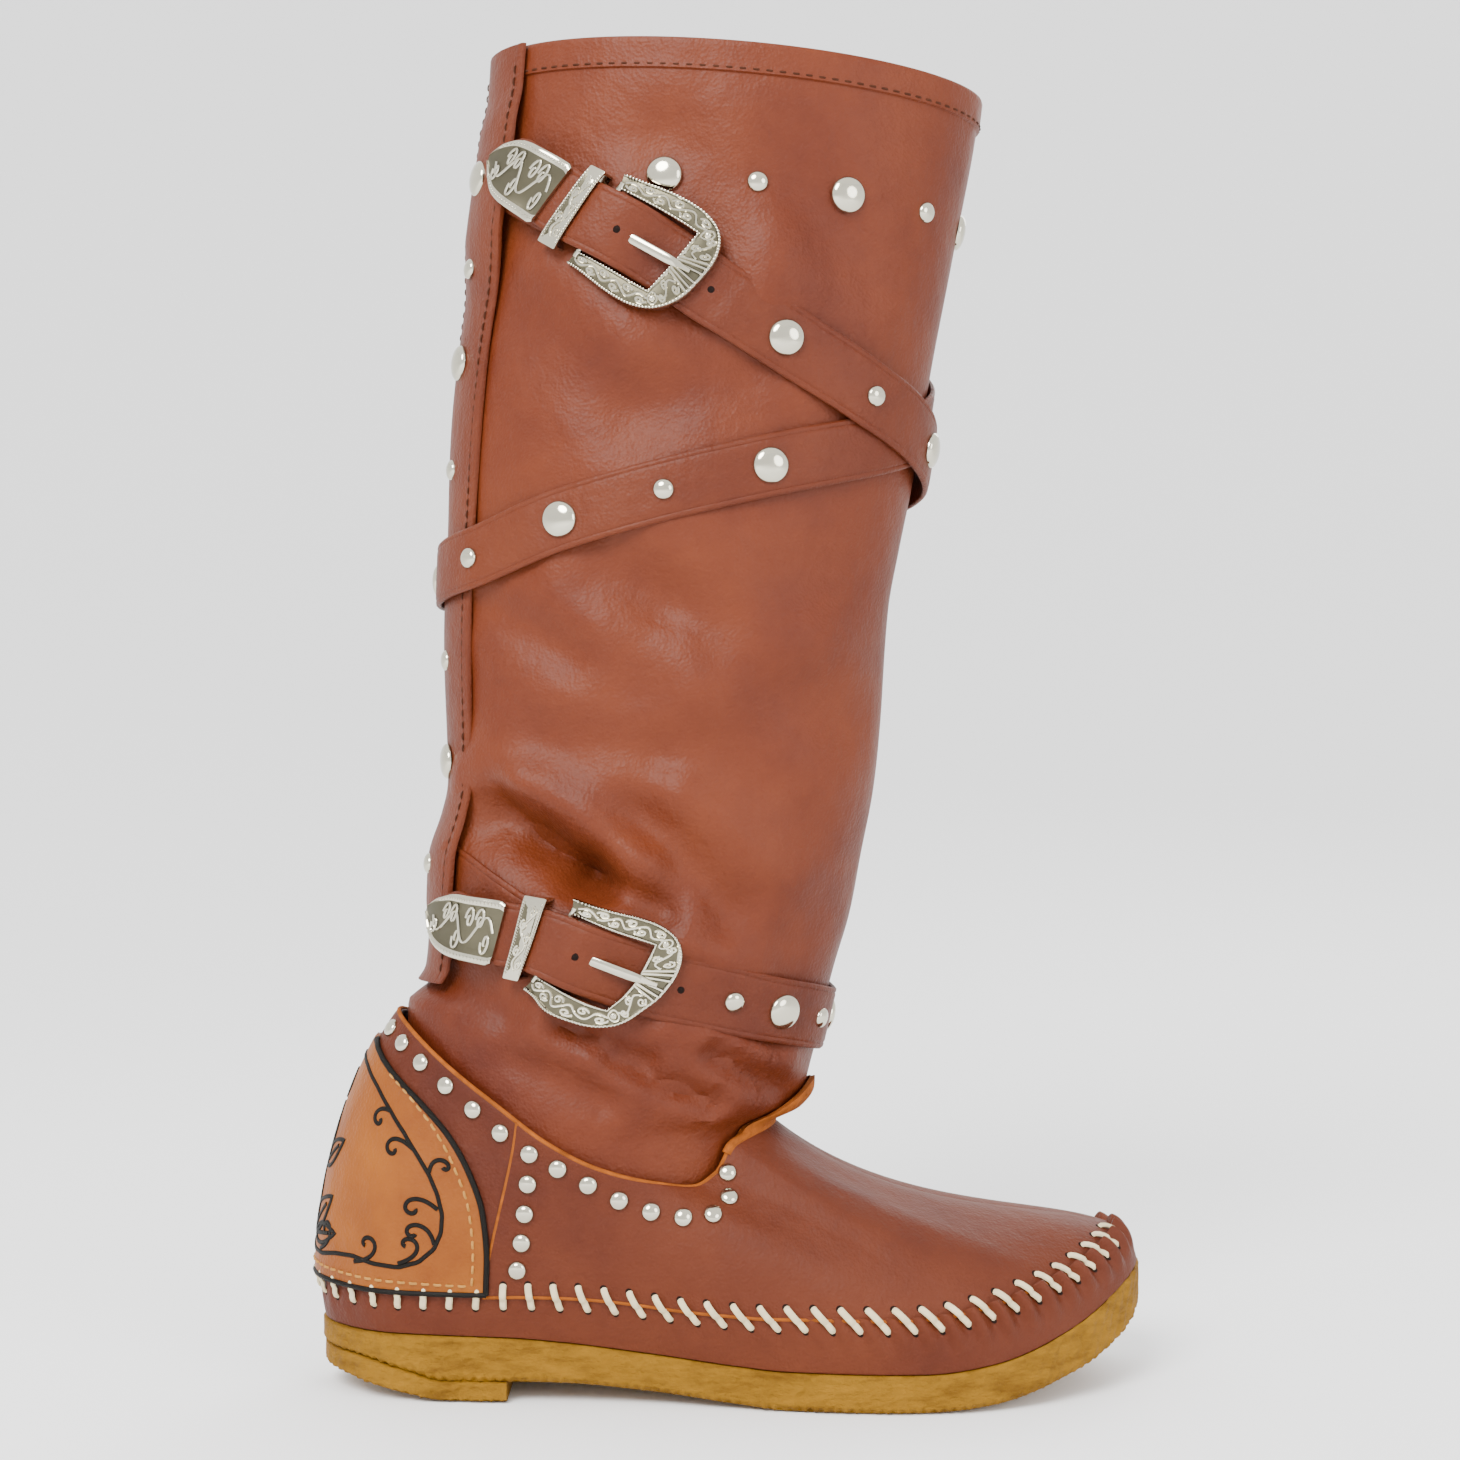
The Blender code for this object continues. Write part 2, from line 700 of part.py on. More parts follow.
class Strap:
    """A strap's route on the shaft, measured along its middle line from the buckle's bar."""

    def __init__(self, route, end, bar, drift):
        self.level = curve(route, "angle", "level")
        self.lift = curve(route, "angle", "lift")
        self.end_lift = curve(end, "past", "lift")
        self.last_row, self.turns = route["angle"][0], route["angle"][-1] - route["angle"][0]
        self.bar, self.drift = bar, drift
        self.angles = np.arange(route["angle"][-1], self.last_row - 95.0, -1.0)
        points = np.array([shaft_skin(a, self.height(a)) for a in self.angles])
        steps = np.linalg.norm(np.diff(points, axis=0), axis=1)
        walked = np.concatenate(([0.0], np.cumsum(steps)))
        self.walked = walked - np.interp(-bar, -self.angles, walked)
        self.loop = self.along_at(bar - self.turns)
        self.length = self.loop + TIP_FROM_BAR + TIP_LENGTH

    def height(self, angle):
        """Middle line's height; past the last row the end lies on the first stretch."""
        if angle >= self.last_row:
            return self.level(angle) * BOOT_HEIGHT
        past = ease(self.bar - self.turns, self.bar - self.turns - 40.0, angle)
        return self.level(angle + self.turns) * BOOT_HEIGHT + self.drift * past

    def angle_at(self, along):
        return float(np.interp(along, self.walked, self.angles))

    def along_at(self, angle):
        return float(np.interp(-angle, -self.angles, self.walked))

    def underside(self, along):
        """Height of the strap's underside above the shaft."""
        if along > self.loop - 0.030:
            return self.end_lift(along - self.loop)
        return STRAP_CLEARANCE + self.lift(self.angle_at(along)) * STRAP_THICKNESS

    def place(self, along, across, out):
        """World point at a distance along the strap, across it and off the shaft."""
        angle = self.angle_at(along)
        ahead, behind = angle - 1.5, angle + 1.5
        span = shaft_skin(ahead, self.height(ahead)) - shaft_skin(behind, self.height(behind))
        slope = math.atan2(span[2], math.hypot(span[0], span[1]))
        height = self.height(angle)
        turned = angle + across * math.sin(slope) / degree_arc(angle, height)
        return shaft_skin(turned, height + across * math.cos(slope), out)

    def stations(self):
        """Distances of the strap's sections: close together at the buckle, wide elsewhere."""
        start, close = 0.0040, self.loop - 0.030
        last = self.length - STRAP_POINT_LENGTH
        marks = list(np.arange(start, 0.024, BUCKLE_STEP * 1.6))
        plain = int((close - 0.028) / STRAP_STEP)
        marks += list(np.linspace(0.028, close - STRAP_STEP, plain))
        return marks + list(np.linspace(close, last, int((last - close) / BUCKLE_STEP)))


def strap_section(strap, along, out_low, out_high, width):
    """Rectangle across a strap, with the outer edges eased."""
    half = width / 2
    eased = half - STRAP_THICKNESS / 3
    shoulder = out_low + (out_high - out_low) * 0.65
    corners = ((-half, out_low), (0.0, out_low), (half, out_low), (half, shoulder),
               (eased, out_high), (-eased, out_high), (-half, shoulder))
    return [strap.place(along, across, out) for across, out in corners]


def fold_sections(strap, bar_out):
    """The strap's thin end, folded round the bar from its free lip to the strap's start."""
    radius = BAR_RADIUS + CLEARANCE
    outer = radius + STRAP_FOLD_THICKNESS
    half = STRAP_WIDTH / 2
    rings = []
    for turn in np.linspace(math.radians(115), math.radians(-90), 9):
        spots = [(-r * math.cos(turn), bar_out + r * math.sin(turn)) for r in (radius, outer)]
        (near, low), (far, high) = spots
        corners = ((-half, far, high), (0.0, far, high), (half, far, high), (half, near, low),
                   (half * 0.94, near, low), (-half * 0.94, near, low), (-half, near, low))
        rings.append([strap.place(strap.loop + a, c, o) for c, a, o in corners])
    return rings


def make_strap(name, strap, bar_out, finish):
    """One strap from the fold round its buckle's bar to its pointed end."""
    rings = fold_sections(strap, bar_out)
    for along in strap.stations():
        low = strap.underside(along)
        rings.append(strap_section(strap, along, low, low + STRAP_THICKNESS, STRAP_WIDTH))
    for share in (0.5, 0.9):
        along = strap.length - STRAP_POINT_LENGTH * (1 - share)
        low = strap.underside(along)
        width = STRAP_WIDTH * (1 - 0.8 * share)
        rings.append(strap_section(strap, along, low, low + STRAP_THICKNESS, width))
    return add_object(name, loft(rings), finish)


def make_frame(name, strap, bar_out, finish):
    """U-shaped plate over the strap, its arms joined by the bar."""
    inner_end = FRAME_LENGTH - FRAME_END_WIDTH
    inner_half = STRAP_WIDTH / 2 + 2 * CLEARANCE
    low = STRAP_CLEARANCE + STRAP_THICKNESS + 2 * CLEARANCE
    rings = []
    for share in np.linspace(-1.0, 1.0, FRAME_STATIONS):
        outer, inner = frame_station(abs(share), inner_end, inner_half)
        side = 1 if share > 0 else -1
        dip = bar_out - BAR_RADIUS - low
        base = low + dip * ease(0.5, 1.0, abs(share))
        corners = ((outer, base), (outer, base + FRAME_THICKNESS * 0.6),
                   ((outer + inner) / 2, base + FRAME_THICKNESS),
                   (inner, base + FRAME_THICKNESS * 0.8), (inner, base))
        rings.append([strap.place(strap.loop - p[0], side * p[1], out) for p, out in corners])
    plate = add_object(name, loft(rings), finish)
    bar_half = inner_half + 0.002
    bar = []
    for across in np.linspace(-bar_half, bar_half, 5):
        ring = []
        for turn in np.linspace(0.0, 2 * math.pi, 9)[:-1]:
            along = strap.loop - BAR_RADIUS * math.cos(turn)
            ring.append(strap.place(along, across, bar_out + BAR_RADIUS * math.sin(turn)))
        bar.append(ring)
    rod = add_object(name + "_bar", loft(bar), finish, where=CUTTERS)
    hide_cutter(rod)
    join = plate.modifiers.new("bar", "BOOLEAN")
    join.operation, join.object = "UNION", rod
    return plate


def frame_station(share, inner_end, inner_half):
    """Outer and inner corner at a share of the way from the frame's end to an arm's end."""
    run = share * (inner_end + inner_half)
    inner = np.array((inner_end - max(run - inner_half, 0.0), min(run, inner_half)))
    bend = math.radians(90) * min(1.0, share * 2)
    reach = FRAME_LENGTH * (0.58 + 0.42 * math.cos(bend))
    if share > 0.5:
        reach = FRAME_LENGTH * 0.58 * (1 - (share - 0.5) * 2) - 0.0012 * (share - 0.5) * 2
    half = FRAME_WIDTH / 2 * (math.sin(bend) ** 0.7 if bend > 0 else 0.0)
    narrow = 0.12 * ease(0.55, 1.0, share)
    return np.array((reach, half * (1 - narrow))), inner


def make_prong(name, strap, bar_out, finish):
    """Tongue of the buckle: an eye round the bar and a flat-sided pin to the frame's end."""
    radius = BAR_RADIUS + CLEARANCE + PRONG_THICKNESS / 2
    inner_end = FRAME_LENGTH - FRAME_END_WIDTH
    rest = STRAP_CLEARANCE + STRAP_THICKNESS + FRAME_THICKNESS + PRONG_THICKNESS / 2
    rest += CLEARANCE * 4
    crown = bar_out + radius
    bar = strap.place(strap.loop, 0.0, bar_out)
    span = strap.place(strap.loop - inner_end, 0.0, rest) - bar
    up = strap.place(strap.loop, 0.0, crown) - bar
    aside = unit(np.cross(span, up))
    up = unit(up - aside * (up @ aside))
    ahead = np.cross(up, aside)
    turns = np.linspace(math.radians(-200), math.radians(90), EYE_STATIONS)
    path = [radius * np.array((math.cos(turn), math.sin(turn))) for turn in turns]
    knots = ((inner_end * 0.35, crown), (inner_end * 0.70, (crown + rest) / 2), (inner_end, rest),
             (inner_end + FRAME_END_WIDTH * 0.6, rest))
    for reach, height in knots:
        spot = strap.place(strap.loop - reach, 0.0, height) - bar
        path.append(np.array((spot @ ahead, spot @ up)))
    path.insert(-1, path[-2] + (path[-1] - path[-2]) * 0.15)
    rings = []
    for i, spot in enumerate(path):
        before = max(i - 1, 0) if i < len(path) - 2 else len(path) - 2
        run = unit(path[min(i + 1, len(path) - 1)] - path[before])
        normal = np.array((-run[1], run[0])) * PRONG_THICKNESS / 2
        half = PRONG_WIDTH / 2 * (0.5 if i == len(path) - 1 else 1.0)
        corners = ((spot + normal, -half), (spot + normal, half), (spot - normal, half),
                   (spot - normal, -half))
        rings.append([bar + ahead * p[0] + up * p[1] + aside * across for p, across in corners])
    return add_object(name, loft(rings), finish)


def cut_slot(strap_object, strap, finish):
    """Slot for the prong, through the fold and through the free end over the bar."""
    inner_end = FRAME_LENGTH - FRAME_END_WIDTH
    half = PRONG_SLOT / 2
    rings = []
    over_bar = strap.underside(strap.loop) - CLEARANCE / 2
    for reach, top in ((-0.0035, over_bar), (0.0, over_bar), (0.0038, over_bar), (0.0042, 0.012),
                       (0.008, 0.012), (0.012, 0.012), (inner_end * 0.72, 0.012)):
        corners = ((-half, 0.0010), (half, 0.0010), (half, top), (-half, top))
        rings.append([strap.place(strap.loop - reach, across, out) for across, out in corners])
    cutter = add_object(strap_object.name + "_slot", loft(rings), finish, where=CUTTERS)
    hide_cutter(cutter)
    cut = strap_object.modifiers.new("prong_slot", "BOOLEAN")
    cut.operation, cut.object = "DIFFERENCE", cutter


def hide_cutter(cutter):
    cutter.hide_render = True
    cutter.display_type = "WIRE"


def make_keeper(name, strap, finish):
    """Metal loop round both layers of the strap."""
    middle = strap.loop + KEEPER_FROM_BAR
    columns = []
    for shift, grow in ((-1, 0.0), (-1, KEEPER_THICKNESS), (1, KEEPER_THICKNESS), (1, 0.0)):
        along = middle + shift * KEEPER_WIDTH / 2
        outline = keeper_loop(strap, along, grow)
        columns.append([strap.place(along, across, out) for across, out in outline])
    return add_object(name, loft([list(ring) for ring in zip(*columns)], loop=True), finish)


def keeper_loop(strap, along, grow):
    """Outline of the keeper round the strap, grown outwards by its metal's thickness."""
    base = STRAP_CLEARANCE - CLEARANCE / 2 + (KEEPER_THICKNESS - grow) * 0.4
    top = strap.underside(along) + STRAP_THICKNESS + 2 * CLEARANCE + grow
    half = STRAP_WIDTH / 2 + KEEPER_SIDE_ROOM + grow
    corner = KEEPER_THICKNESS
    right = [(half, base), (half, top - corner), (half - corner, top), (half * 0.4, top)]
    return [(0.0, base)] + right + [(-across, out) for across, out in reversed(right)]


def make_tip(name, strap, finish):
    """Pointed metal plate on the strap's free end."""
    start = strap.loop + TIP_FROM_BAR
    rings = []
    half_width = curve(TIP_SHAPE, "along", "wide")
    for share in np.linspace(0.0, 1.0, 12):
        along = start + TIP_LENGTH * share
        low = strap.underside(along) + STRAP_THICKNESS + 2 * CLEARANCE
        half = STRAP_WIDTH / 2 * half_width(share)
        edge, crown = low + TIP_THICKNESS * 0.6, low + TIP_THICKNESS
        corners = ((-half, low), (0.0, low), (half, low), (half, edge), (half * 0.5, crown),
                   (-half * 0.5, crown), (-half, edge))
        rings.append([strap.place(along, across, out) for across, out in corners])
    return add_object(name, loft(rings), finish)


def make_stud(name, seat, outward, finish):
    """Round stud with a raised boss, seated just off the surface under it."""
    side = unit(np.cross(outward, (0.0, 0.0, 1.0)))
    up = np.cross(side, outward)
    rings = []
    for wide, rise in ((1.0, 0.0), (1.0, 0.25), (0.62, 0.88)):
        ring = []
        for turn in np.linspace(0.0, 2 * math.pi, STUD_SIDES + 1)[:-1]:
            spoke = side * math.cos(turn) + up * math.sin(turn)
            lift = STUD_CLEARANCE + BIG_STUD_HEIGHT * rise
            ring.append(seat + spoke * BIG_STUD_RADIUS * wide + outward * lift)
        rings.append(ring)
    return add_object(name, loft(rings), finish)


def strap_studs(name, strap, mark, pitch, crossing, finish):
    """Big studs along a strap, two pitches apart, one of them at the marked angle."""
    first = strap.along_at(mark)
    first -= 2 * pitch * int((first - STUDS_FROM_BAR) / (2 * pitch))
    open_places = [along for along in np.arange(first, strap.loop - STUDS_TO_BAR, 2 * pitch)
                   if not crossing[0] < strap.angle_at(along) < crossing[1]]
    for i, along in enumerate(open_places):
        top = strap.underside(along) + STRAP_THICKNESS
        seat = strap.place(along, 0.0, top)
        ahead = strap.place(along + 0.002, 0.0, top) - strap.place(along - 0.002, 0.0, top)
        aside = strap.place(along, 0.002, top) - strap.place(along, -0.002, top)
        make_stud(f"{name}_{i + 1:02d}", seat, unit(np.cross(aside, ahead)), finish)


def shaft_stud(name, angle, height, out, finish):
    round_way = shaft_skin(angle + 2, height) - shaft_skin(angle - 2, height)
    up_way = shaft_skin(angle, height + 0.005) - shaft_skin(angle, height - 0.005)
    make_stud(name, shaft_skin(angle, height, out), unit(np.cross(round_way, up_way)), finish)


def collar_studs(finish):
    """Big studs of the row below the collar, evenly spaced round the shaft."""
    angles = np.arange(COLLAR_STUD_MARK, COLLAR_STUD_MARK + 361.0, 1.0)
    row = [collar_height(a) - COLLAR_STUD_DROP for a in angles]
    points = np.array([shaft_skin(a, h) for a, h in zip(angles, row)])
    walked = np.concatenate(([0.0], np.cumsum(np.linalg.norm(np.diff(points, axis=0), axis=1))))
    for i in range(COLLAR_BIG_STUDS):
        angle = float(np.interp(2 * COLLAR_STUD_SHARE * walked[-1] * i, walked, angles))
        height = collar_height(angle) - COLLAR_STUD_DROP
        sunk = hollow_depth(angle, height) * STUD_SINK
        shaft_stud(f"collar_stud_{i + 1:02d}", angle, height, -sunk, finish)


def make_buckle_set(name, strap, finish):
    """Frame, prong, keeper and tip of one buckle."""
    make_frame(name + "_frame", strap, BAR_OUT, finish)
    make_prong(name + "_prong", strap, BAR_OUT, finish)
    make_keeper(name + "_keeper", strap, finish)
    make_tip(name + "_tip", strap, finish)


for old in list(bpy.data.objects):
    bpy.data.objects.remove(old, do_unlink=True)
BOOT = bpy.data.collections.new("moccasin_boot")
CUTTERS = bpy.data.collections.new("cutters")
for group in (BOOT, CUTTERS):
    bpy.context.scene.collection.children.link(group)


def main():
    leather = material("cognac_leather", (0.28, 0.085, 0.034), 0.42)
    crepe = material("gum_crepe", (0.46, 0.27, 0.055), 0.7)
    tan = material("insole_leather", (0.50, 0.30, 0.16), 0.6)
    ochre = material("tooled_patch_leather", (0.42, 0.15, 0.03), 0.45)
    nickel = material("polished_nickel", (0.80, 0.78, 0.72), 0.2, 1.0)

    make_outsole(crepe)
    make_heel_lift(crepe)
    make_insole(tan)
    make_upper(leather)
    make_shaft(leather)
    make_heel_patch(ochre)
    make_back_strip(leather)

    wrap = Strap(WRAP_ROUTE, WRAP_END, WRAP_BAR_ANGLE, WRAP_END_DRIFT)
    ankle = Strap(ANKLE_ROUTE, ANKLE_END, ANKLE_BAR_ANGLE, ANKLE_END_DRIFT)
    for name, strap, mark, pitch, crossing in (
            ("wrap", wrap, WRAP_STUD_MARK, WRAP_STUD_PITCH, WRAP_CROSSING),
            ("ankle", ankle, ANKLE_STUD_MARK, ANKLE_STUD_PITCH, (0.0, 0.0))):
        made = make_strap(name + "_strap", strap, BAR_OUT, leather)
        cut_slot(made, strap, leather)
        make_buckle_set(name + "_buckle", strap, nickel)
        strap_studs(name + "_stud", strap, mark, pitch, crossing, nickel)
    collar_studs(nickel)
    strip_angle = curve(STRIP_ROUTE, "level", "angle")
    strip_off = curve(STRIP_ROUTE, "level", "stand_off")
    for i, level in enumerate(STRIP_STUD_LEVELS):
        shaft_stud(f"strip_stud_{i + 1:02d}", strip_angle(level), level * BOOT_HEIGHT,
                   strip_off(level) + STRIP_THICKNESS, nickel)


main()
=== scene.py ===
"""Looks of the moccasin boot: leather, lace, studs, engraved buckles and crepe sole.

Run as a script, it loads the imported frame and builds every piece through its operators.
World frame: +X runs to the toe, -Y is the lateral side, +Z is up. Lengths are in metres.
Angles round the shaft run counter-clockwise seen from above: 0 is the front, 90 the medial
side, 180 the back and 270 the lateral side.
"""
import math

import bmesh
import bpy
import numpy as np
from bpy.props import FloatProperty, FloatVectorProperty, PointerProperty
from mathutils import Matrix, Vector


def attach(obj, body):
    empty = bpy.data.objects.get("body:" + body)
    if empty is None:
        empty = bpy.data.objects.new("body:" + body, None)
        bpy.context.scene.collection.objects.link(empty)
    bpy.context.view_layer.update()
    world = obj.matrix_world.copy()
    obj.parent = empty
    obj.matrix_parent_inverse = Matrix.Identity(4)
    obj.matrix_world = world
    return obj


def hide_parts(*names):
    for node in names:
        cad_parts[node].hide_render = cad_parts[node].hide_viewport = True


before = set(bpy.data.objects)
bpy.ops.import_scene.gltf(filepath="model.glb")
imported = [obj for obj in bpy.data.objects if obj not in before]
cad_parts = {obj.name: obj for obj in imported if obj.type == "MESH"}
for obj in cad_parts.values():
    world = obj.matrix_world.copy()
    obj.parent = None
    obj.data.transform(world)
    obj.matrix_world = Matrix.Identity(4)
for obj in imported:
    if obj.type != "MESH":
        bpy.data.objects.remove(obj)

bl_info = {
    "name": "Moccasin Boot Looks",
    "version": (1, 0, 0),
    "blender": (4, 5, 0),
    "location": "View3D > Sidebar > Boot",
    "description": "Builds the leather, lace, metal and crepe of a buckled moccasin boot",
    "category": "Object",
}

SOLE_LENGTH = 0.258
BALL_WIDTH = 0.090
BOOT_HEIGHT = 0.414
SHAFT_HALF_WIDTH = 0.047
CLEARANCE = 0.0003

# Sole
OUTSOLE_TOP = 0.036
HEEL_LIFT_BREAST = 0.060
HEEL_SPOT_CENTRE = 0.049

# Foot part of the upper
UPPER_WALL = 0.0016
FEATHER_INSET = 0.0006
VAMP_STEP = 0.0012
QUARTER_STEP = 0.0007
VAMP_REAR = 0.113
PATCH_BOTTOM = 0.020
PATCH_TOP = 0.870

# Shaft
SHAFT_WALL = 0.0016
SHAFT_TUCK = 0.012
SHAFT_TO_UPPER = 0.0011
COLLAR_DROP = 0.013
COLLAR_CROWN = 0.0020
HEM_WIDTH = 0.009
HEM_STEP = 0.0008

# Back strip
STRIP_WIDTH = 0.029
STRIP_THICKNESS = 0.0015
STRIP_BOTTOM = 0.126

# Straps, buckles and studs
STRAP_WIDTH = 0.019
STRAP_THICKNESS = 0.0018
STRAP_FOLD_THICKNESS = 0.0010
STRAP_CLEARANCE = 0.0007
STRAP_POINT_LENGTH = 0.008
FRAME_LENGTH = 0.0355
FRAME_WIDTH = 0.033
FRAME_THICKNESS = 0.0025
FRAME_END_WIDTH = 0.0100
BAR_RADIUS = 0.0010
BAR_OUT = 0.0039
WRAP_BAR_ANGLE = 243.0
WRAP_END_DRIFT = 0.005
ANKLE_BAR_ANGLE = 247.5
ANKLE_END_DRIFT = -0.0095
PRONG_THICKNESS = 0.0010
PRONG_WIDTH = 0.0028
KEEPER_WIDTH = 0.0060
KEEPER_THICKNESS = 0.0009
KEEPER_FROM_BAR = 0.0085
KEEPER_SIDE_ROOM = 0.0022
TIP_LENGTH = 0.026
TIP_THICKNESS = 0.0013
TIP_FROM_BAR = 0.0160
BIG_STUD_RADIUS = 0.0055
BIG_STUD_HEIGHT = 0.0026
STUD_SINK = 0.6
WRAP_STUD_PITCH = 0.0323
ANKLE_STUD_PITCH = 0.0175
COLLAR_STUD_DROP = 0.0405
COLLAR_STUD_SHARE = 0.0735
COLLAR_BIG_STUDS = 5
COLLAR_STUD_MARK = 256.0
STRIP_STUD_LEVELS = (0.905, 0.768, 0.469)
WRAP_STUD_MARK = -69.0
ANKLE_STUD_MARK = -39.0
WRAP_CROSSING = (-55.0, 35.0)
STUDS_FROM_BAR = 0.080
STUDS_TO_BAR = 0.046

# Finish only: leather that gathers at the seam, the lace, thread, holes and the suede tongue
LEAST_GATHER = 0.0005
LINING_GAP = 0.0006
# Fold depth that gives a leg fold its full painted shade; depth that scales the foot's painted fold
# shade and the pale wear on ridges.
FULL_FOLD = 0.0058
FULL_WEAR_AND_SHADE = 0.005
LACE_REACH = 0.0041
LACE_RADIUS = 0.00105
LACE_FLAT = 0.62
LACE_SLANT = 16.0
LACE_HOLE_RADIUS = 0.0014
TAN_STITCH = 0.0026
STITCH_GAP = 0.0012
TAN_THREAD_RADIUS = 0.00042
STRAP_HOLE_RADIUS = 0.0016
HOLES_FROM_BAR = (-0.0070, -0.0225, -0.0390)
SMALL_STRIP_LEVELS = (0.838, 0.688, 0.545, 0.392)
TONGUE_HALF_ANGLE = 32.0
PATCH_PLAN_TURN = 660.0
PATCH_PLAN_HEIGHT = 76.0
CREPE_SAW_PITCH = 0.0031
CREPE_SAW_DEPTH = 0.0007


def table(names, *rows):
    """A table with named columns: one array for each column."""
    return {name: np.array(column) for name, column in zip(names.split(), zip(*rows))}


# Plan of the sole: places along it as shares of its length, edges as shares of the ball width.
SOLE_PLAN = table(
    "along lateral medial",
    (0.00, 0.000, 0.000),
    (0.03, -0.200, 0.200),
    (0.10, -0.320, 0.320),
    (0.20, -0.350, 0.345),
    (0.30, -0.360, 0.330),
    (0.40, -0.380, 0.320),
    (0.50, -0.430, 0.360),
    (0.60, -0.480, 0.430),
    (0.68, -0.500, 0.480),
    (0.76, -0.485, 0.500),
    (0.84, -0.420, 0.490),
    (0.92, -0.280, 0.430),
    (0.97, -0.130, 0.330),
    (1.00, 0.120, 0.120))

# Side view of the sole: heights as shares of the toe's height above the floor.
SOLE_SIDE = table(
    "along top bottom lift_bottom",
    (0.00, 0.570, 0.380, 0.200),
    (0.06, 0.562, 0.340, 0.120),
    (0.12, 0.555, 0.235, 0.040),
    (0.155, 0.550, 0.172, 0.000),
    (0.235, 0.535, 0.172, 0.000),
    (0.30, 0.500, 0.165, 0.000),
    (0.40, 0.420, 0.110, 0.000),
    (0.50, 0.345, 0.035, 0.000),
    (0.56, 0.315, 0.000, 0.000),
    (0.72, 0.310, 0.000, 0.000),
    (0.80, 0.370, 0.040, 0.000),
    (0.90, 0.600, 0.220, 0.000),
    (0.96, 0.830, 0.400, 0.000),
    (1.00, 1.000, 0.620, 0.000))

# Shaft's outline: level as a share of the boot's height, back and front as shares of the
# sole's length from its heel end, half width as a share of the collar's.
SHAFT_SIDE = table(
    "level back front half_width",
    (0.110, 0.104, 0.512, 0.765),
    (0.165, 0.103, 0.525, 0.785),
    (0.197, 0.102, 0.534, 0.795),
    (0.208, 0.102, 0.566, 0.805),
    (0.222, 0.102, 0.585, 0.812),
    (0.242, 0.102, 0.594, 0.820),
    (0.287, 0.103, 0.611, 0.832),
    (0.301, 0.127, 0.617, 0.838),
    (0.315, 0.141, 0.623, 0.845),
    (0.355, 0.148, 0.642, 0.862),
    (0.401, 0.153, 0.656, 0.885),
    (0.447, 0.159, 0.670, 0.905),
    (0.493, 0.158, 0.678, 0.917),
    (0.585, 0.156, 0.689, 0.930),
    (0.630, 0.158, 0.702, 0.940),
    (0.676, 0.161, 0.717, 0.950),
    (0.766, 0.170, 0.741, 0.968),
    (0.857, 0.190, 0.769, 0.990),
    (0.950, 0.209, 0.797, 1.000),
    (1.010, 0.217, 0.808, 1.000))

# Top edge of the foot part: height as a share of the boot's, along the sole's length.
TOP_EDGE = table(
    "along level",
    (0.085, 0.290),
    (0.110, 0.276),
    (0.163, 0.248),
    (0.233, 0.216),
    (0.283, 0.193),
    (0.337, 0.175),
    (0.403, 0.162),
    (0.446, 0.157),
    (0.473, 0.166),
    (0.492, 0.186),
    (0.540, 0.197))

# Columns of the foot part from heel (0) to toe (0.5): turn round the top edge in degrees from
# the back, then the two handles of the column's curve. flare and rise leave the sole as shares
# of the ball width; reach is a share of the way back out to the sole's edge, drop a share of
# the column's height. seam is the lace seam's place on the curve.
FOOT_SIDE = table(
    "around turn flare rise reach drop seam",
    (0.000, 0.0, 0.060, 0.250, 0.760, 0.24, 0.160),
    (0.050, 33.0, 0.065, 0.240, 0.580, 0.26, 0.165),
    (0.113, 69.0, 0.075, 0.230, 0.150, 0.28, 0.200),
    (0.200, 97.0, 0.075, 0.230, 0.150, 0.26, 0.255),
    (0.300, 124.0, 0.055, 0.290, 0.420, 0.24, 0.235),
    (0.400, 151.0, 0.010, 0.300, 0.440, 0.46, 0.220),
    (0.450, 165.5, -0.020, 0.270, 0.420, 0.74, 0.205),
    (0.500, 180.0, -0.040, 0.250, 0.400, 0.93, 0.185))

# Soft hollows of the shaft: angle, level, half spans in degrees and as a share of the height,
# depth as a share of the collar's half width.
SHAFT_HOLLOWS = table(
    "angle level span tall depth",
    (246.0, 0.405, 26.0, 0.045, 0.100),
    (252.0, 0.915, 24.0, 0.040, 0.045),
    (226.0, 0.640, 18.0, 0.035, 0.035),
    (262.0, 0.590, 22.0, 0.030, 0.030),
    (96.0, 0.420, 30.0, 0.050, 0.060),
    (110.0, 0.880, 26.0, 0.045, 0.040))

# Route of the wrap strap's middle line: from its buckle round the back, twice round the shaft
# and up to the buckle again. Level is a share of the boot's height, lift a share of the
# strap's thickness.
WRAP_ROUTE = table(
    "angle level lift",
    (-448.0, 0.8068, 0.0),
    (-426.0, 0.7693, 0.0),
    (-412.0, 0.7480, 0.9),
    (-400.0, 0.7320, 1.30),
    (-360.0, 0.6957, 1.30),
    (-338.0, 0.6830, 0.7),
    (-320.0, 0.6740, 0.0),
    (-270.0, 0.6473, 0.0),
    (-212.0, 0.6140, 0.0),
    (-196.0, 0.6065, 1.25),
    (-150.0, 0.6180, 1.25),
    (-136.0, 0.6290, 0.0),
    (-120.0, 0.6440, 0.0),
    (-72.0, 0.6812, 0.0),
    (0.0, 0.7271, 0.0),
    (90.0, 0.8333, 0.0),
    (180.0, 0.9200, 0.0),
    (210.0, 0.9000, 0.0),
    (225.0, 0.8830, 0.2),
    (234.0, 0.8710, 0.6),
    (243.0, 0.8590, 0.6),
    (258.0, 0.8340, 0.0),
    (272.0, 0.8068, 0.0))

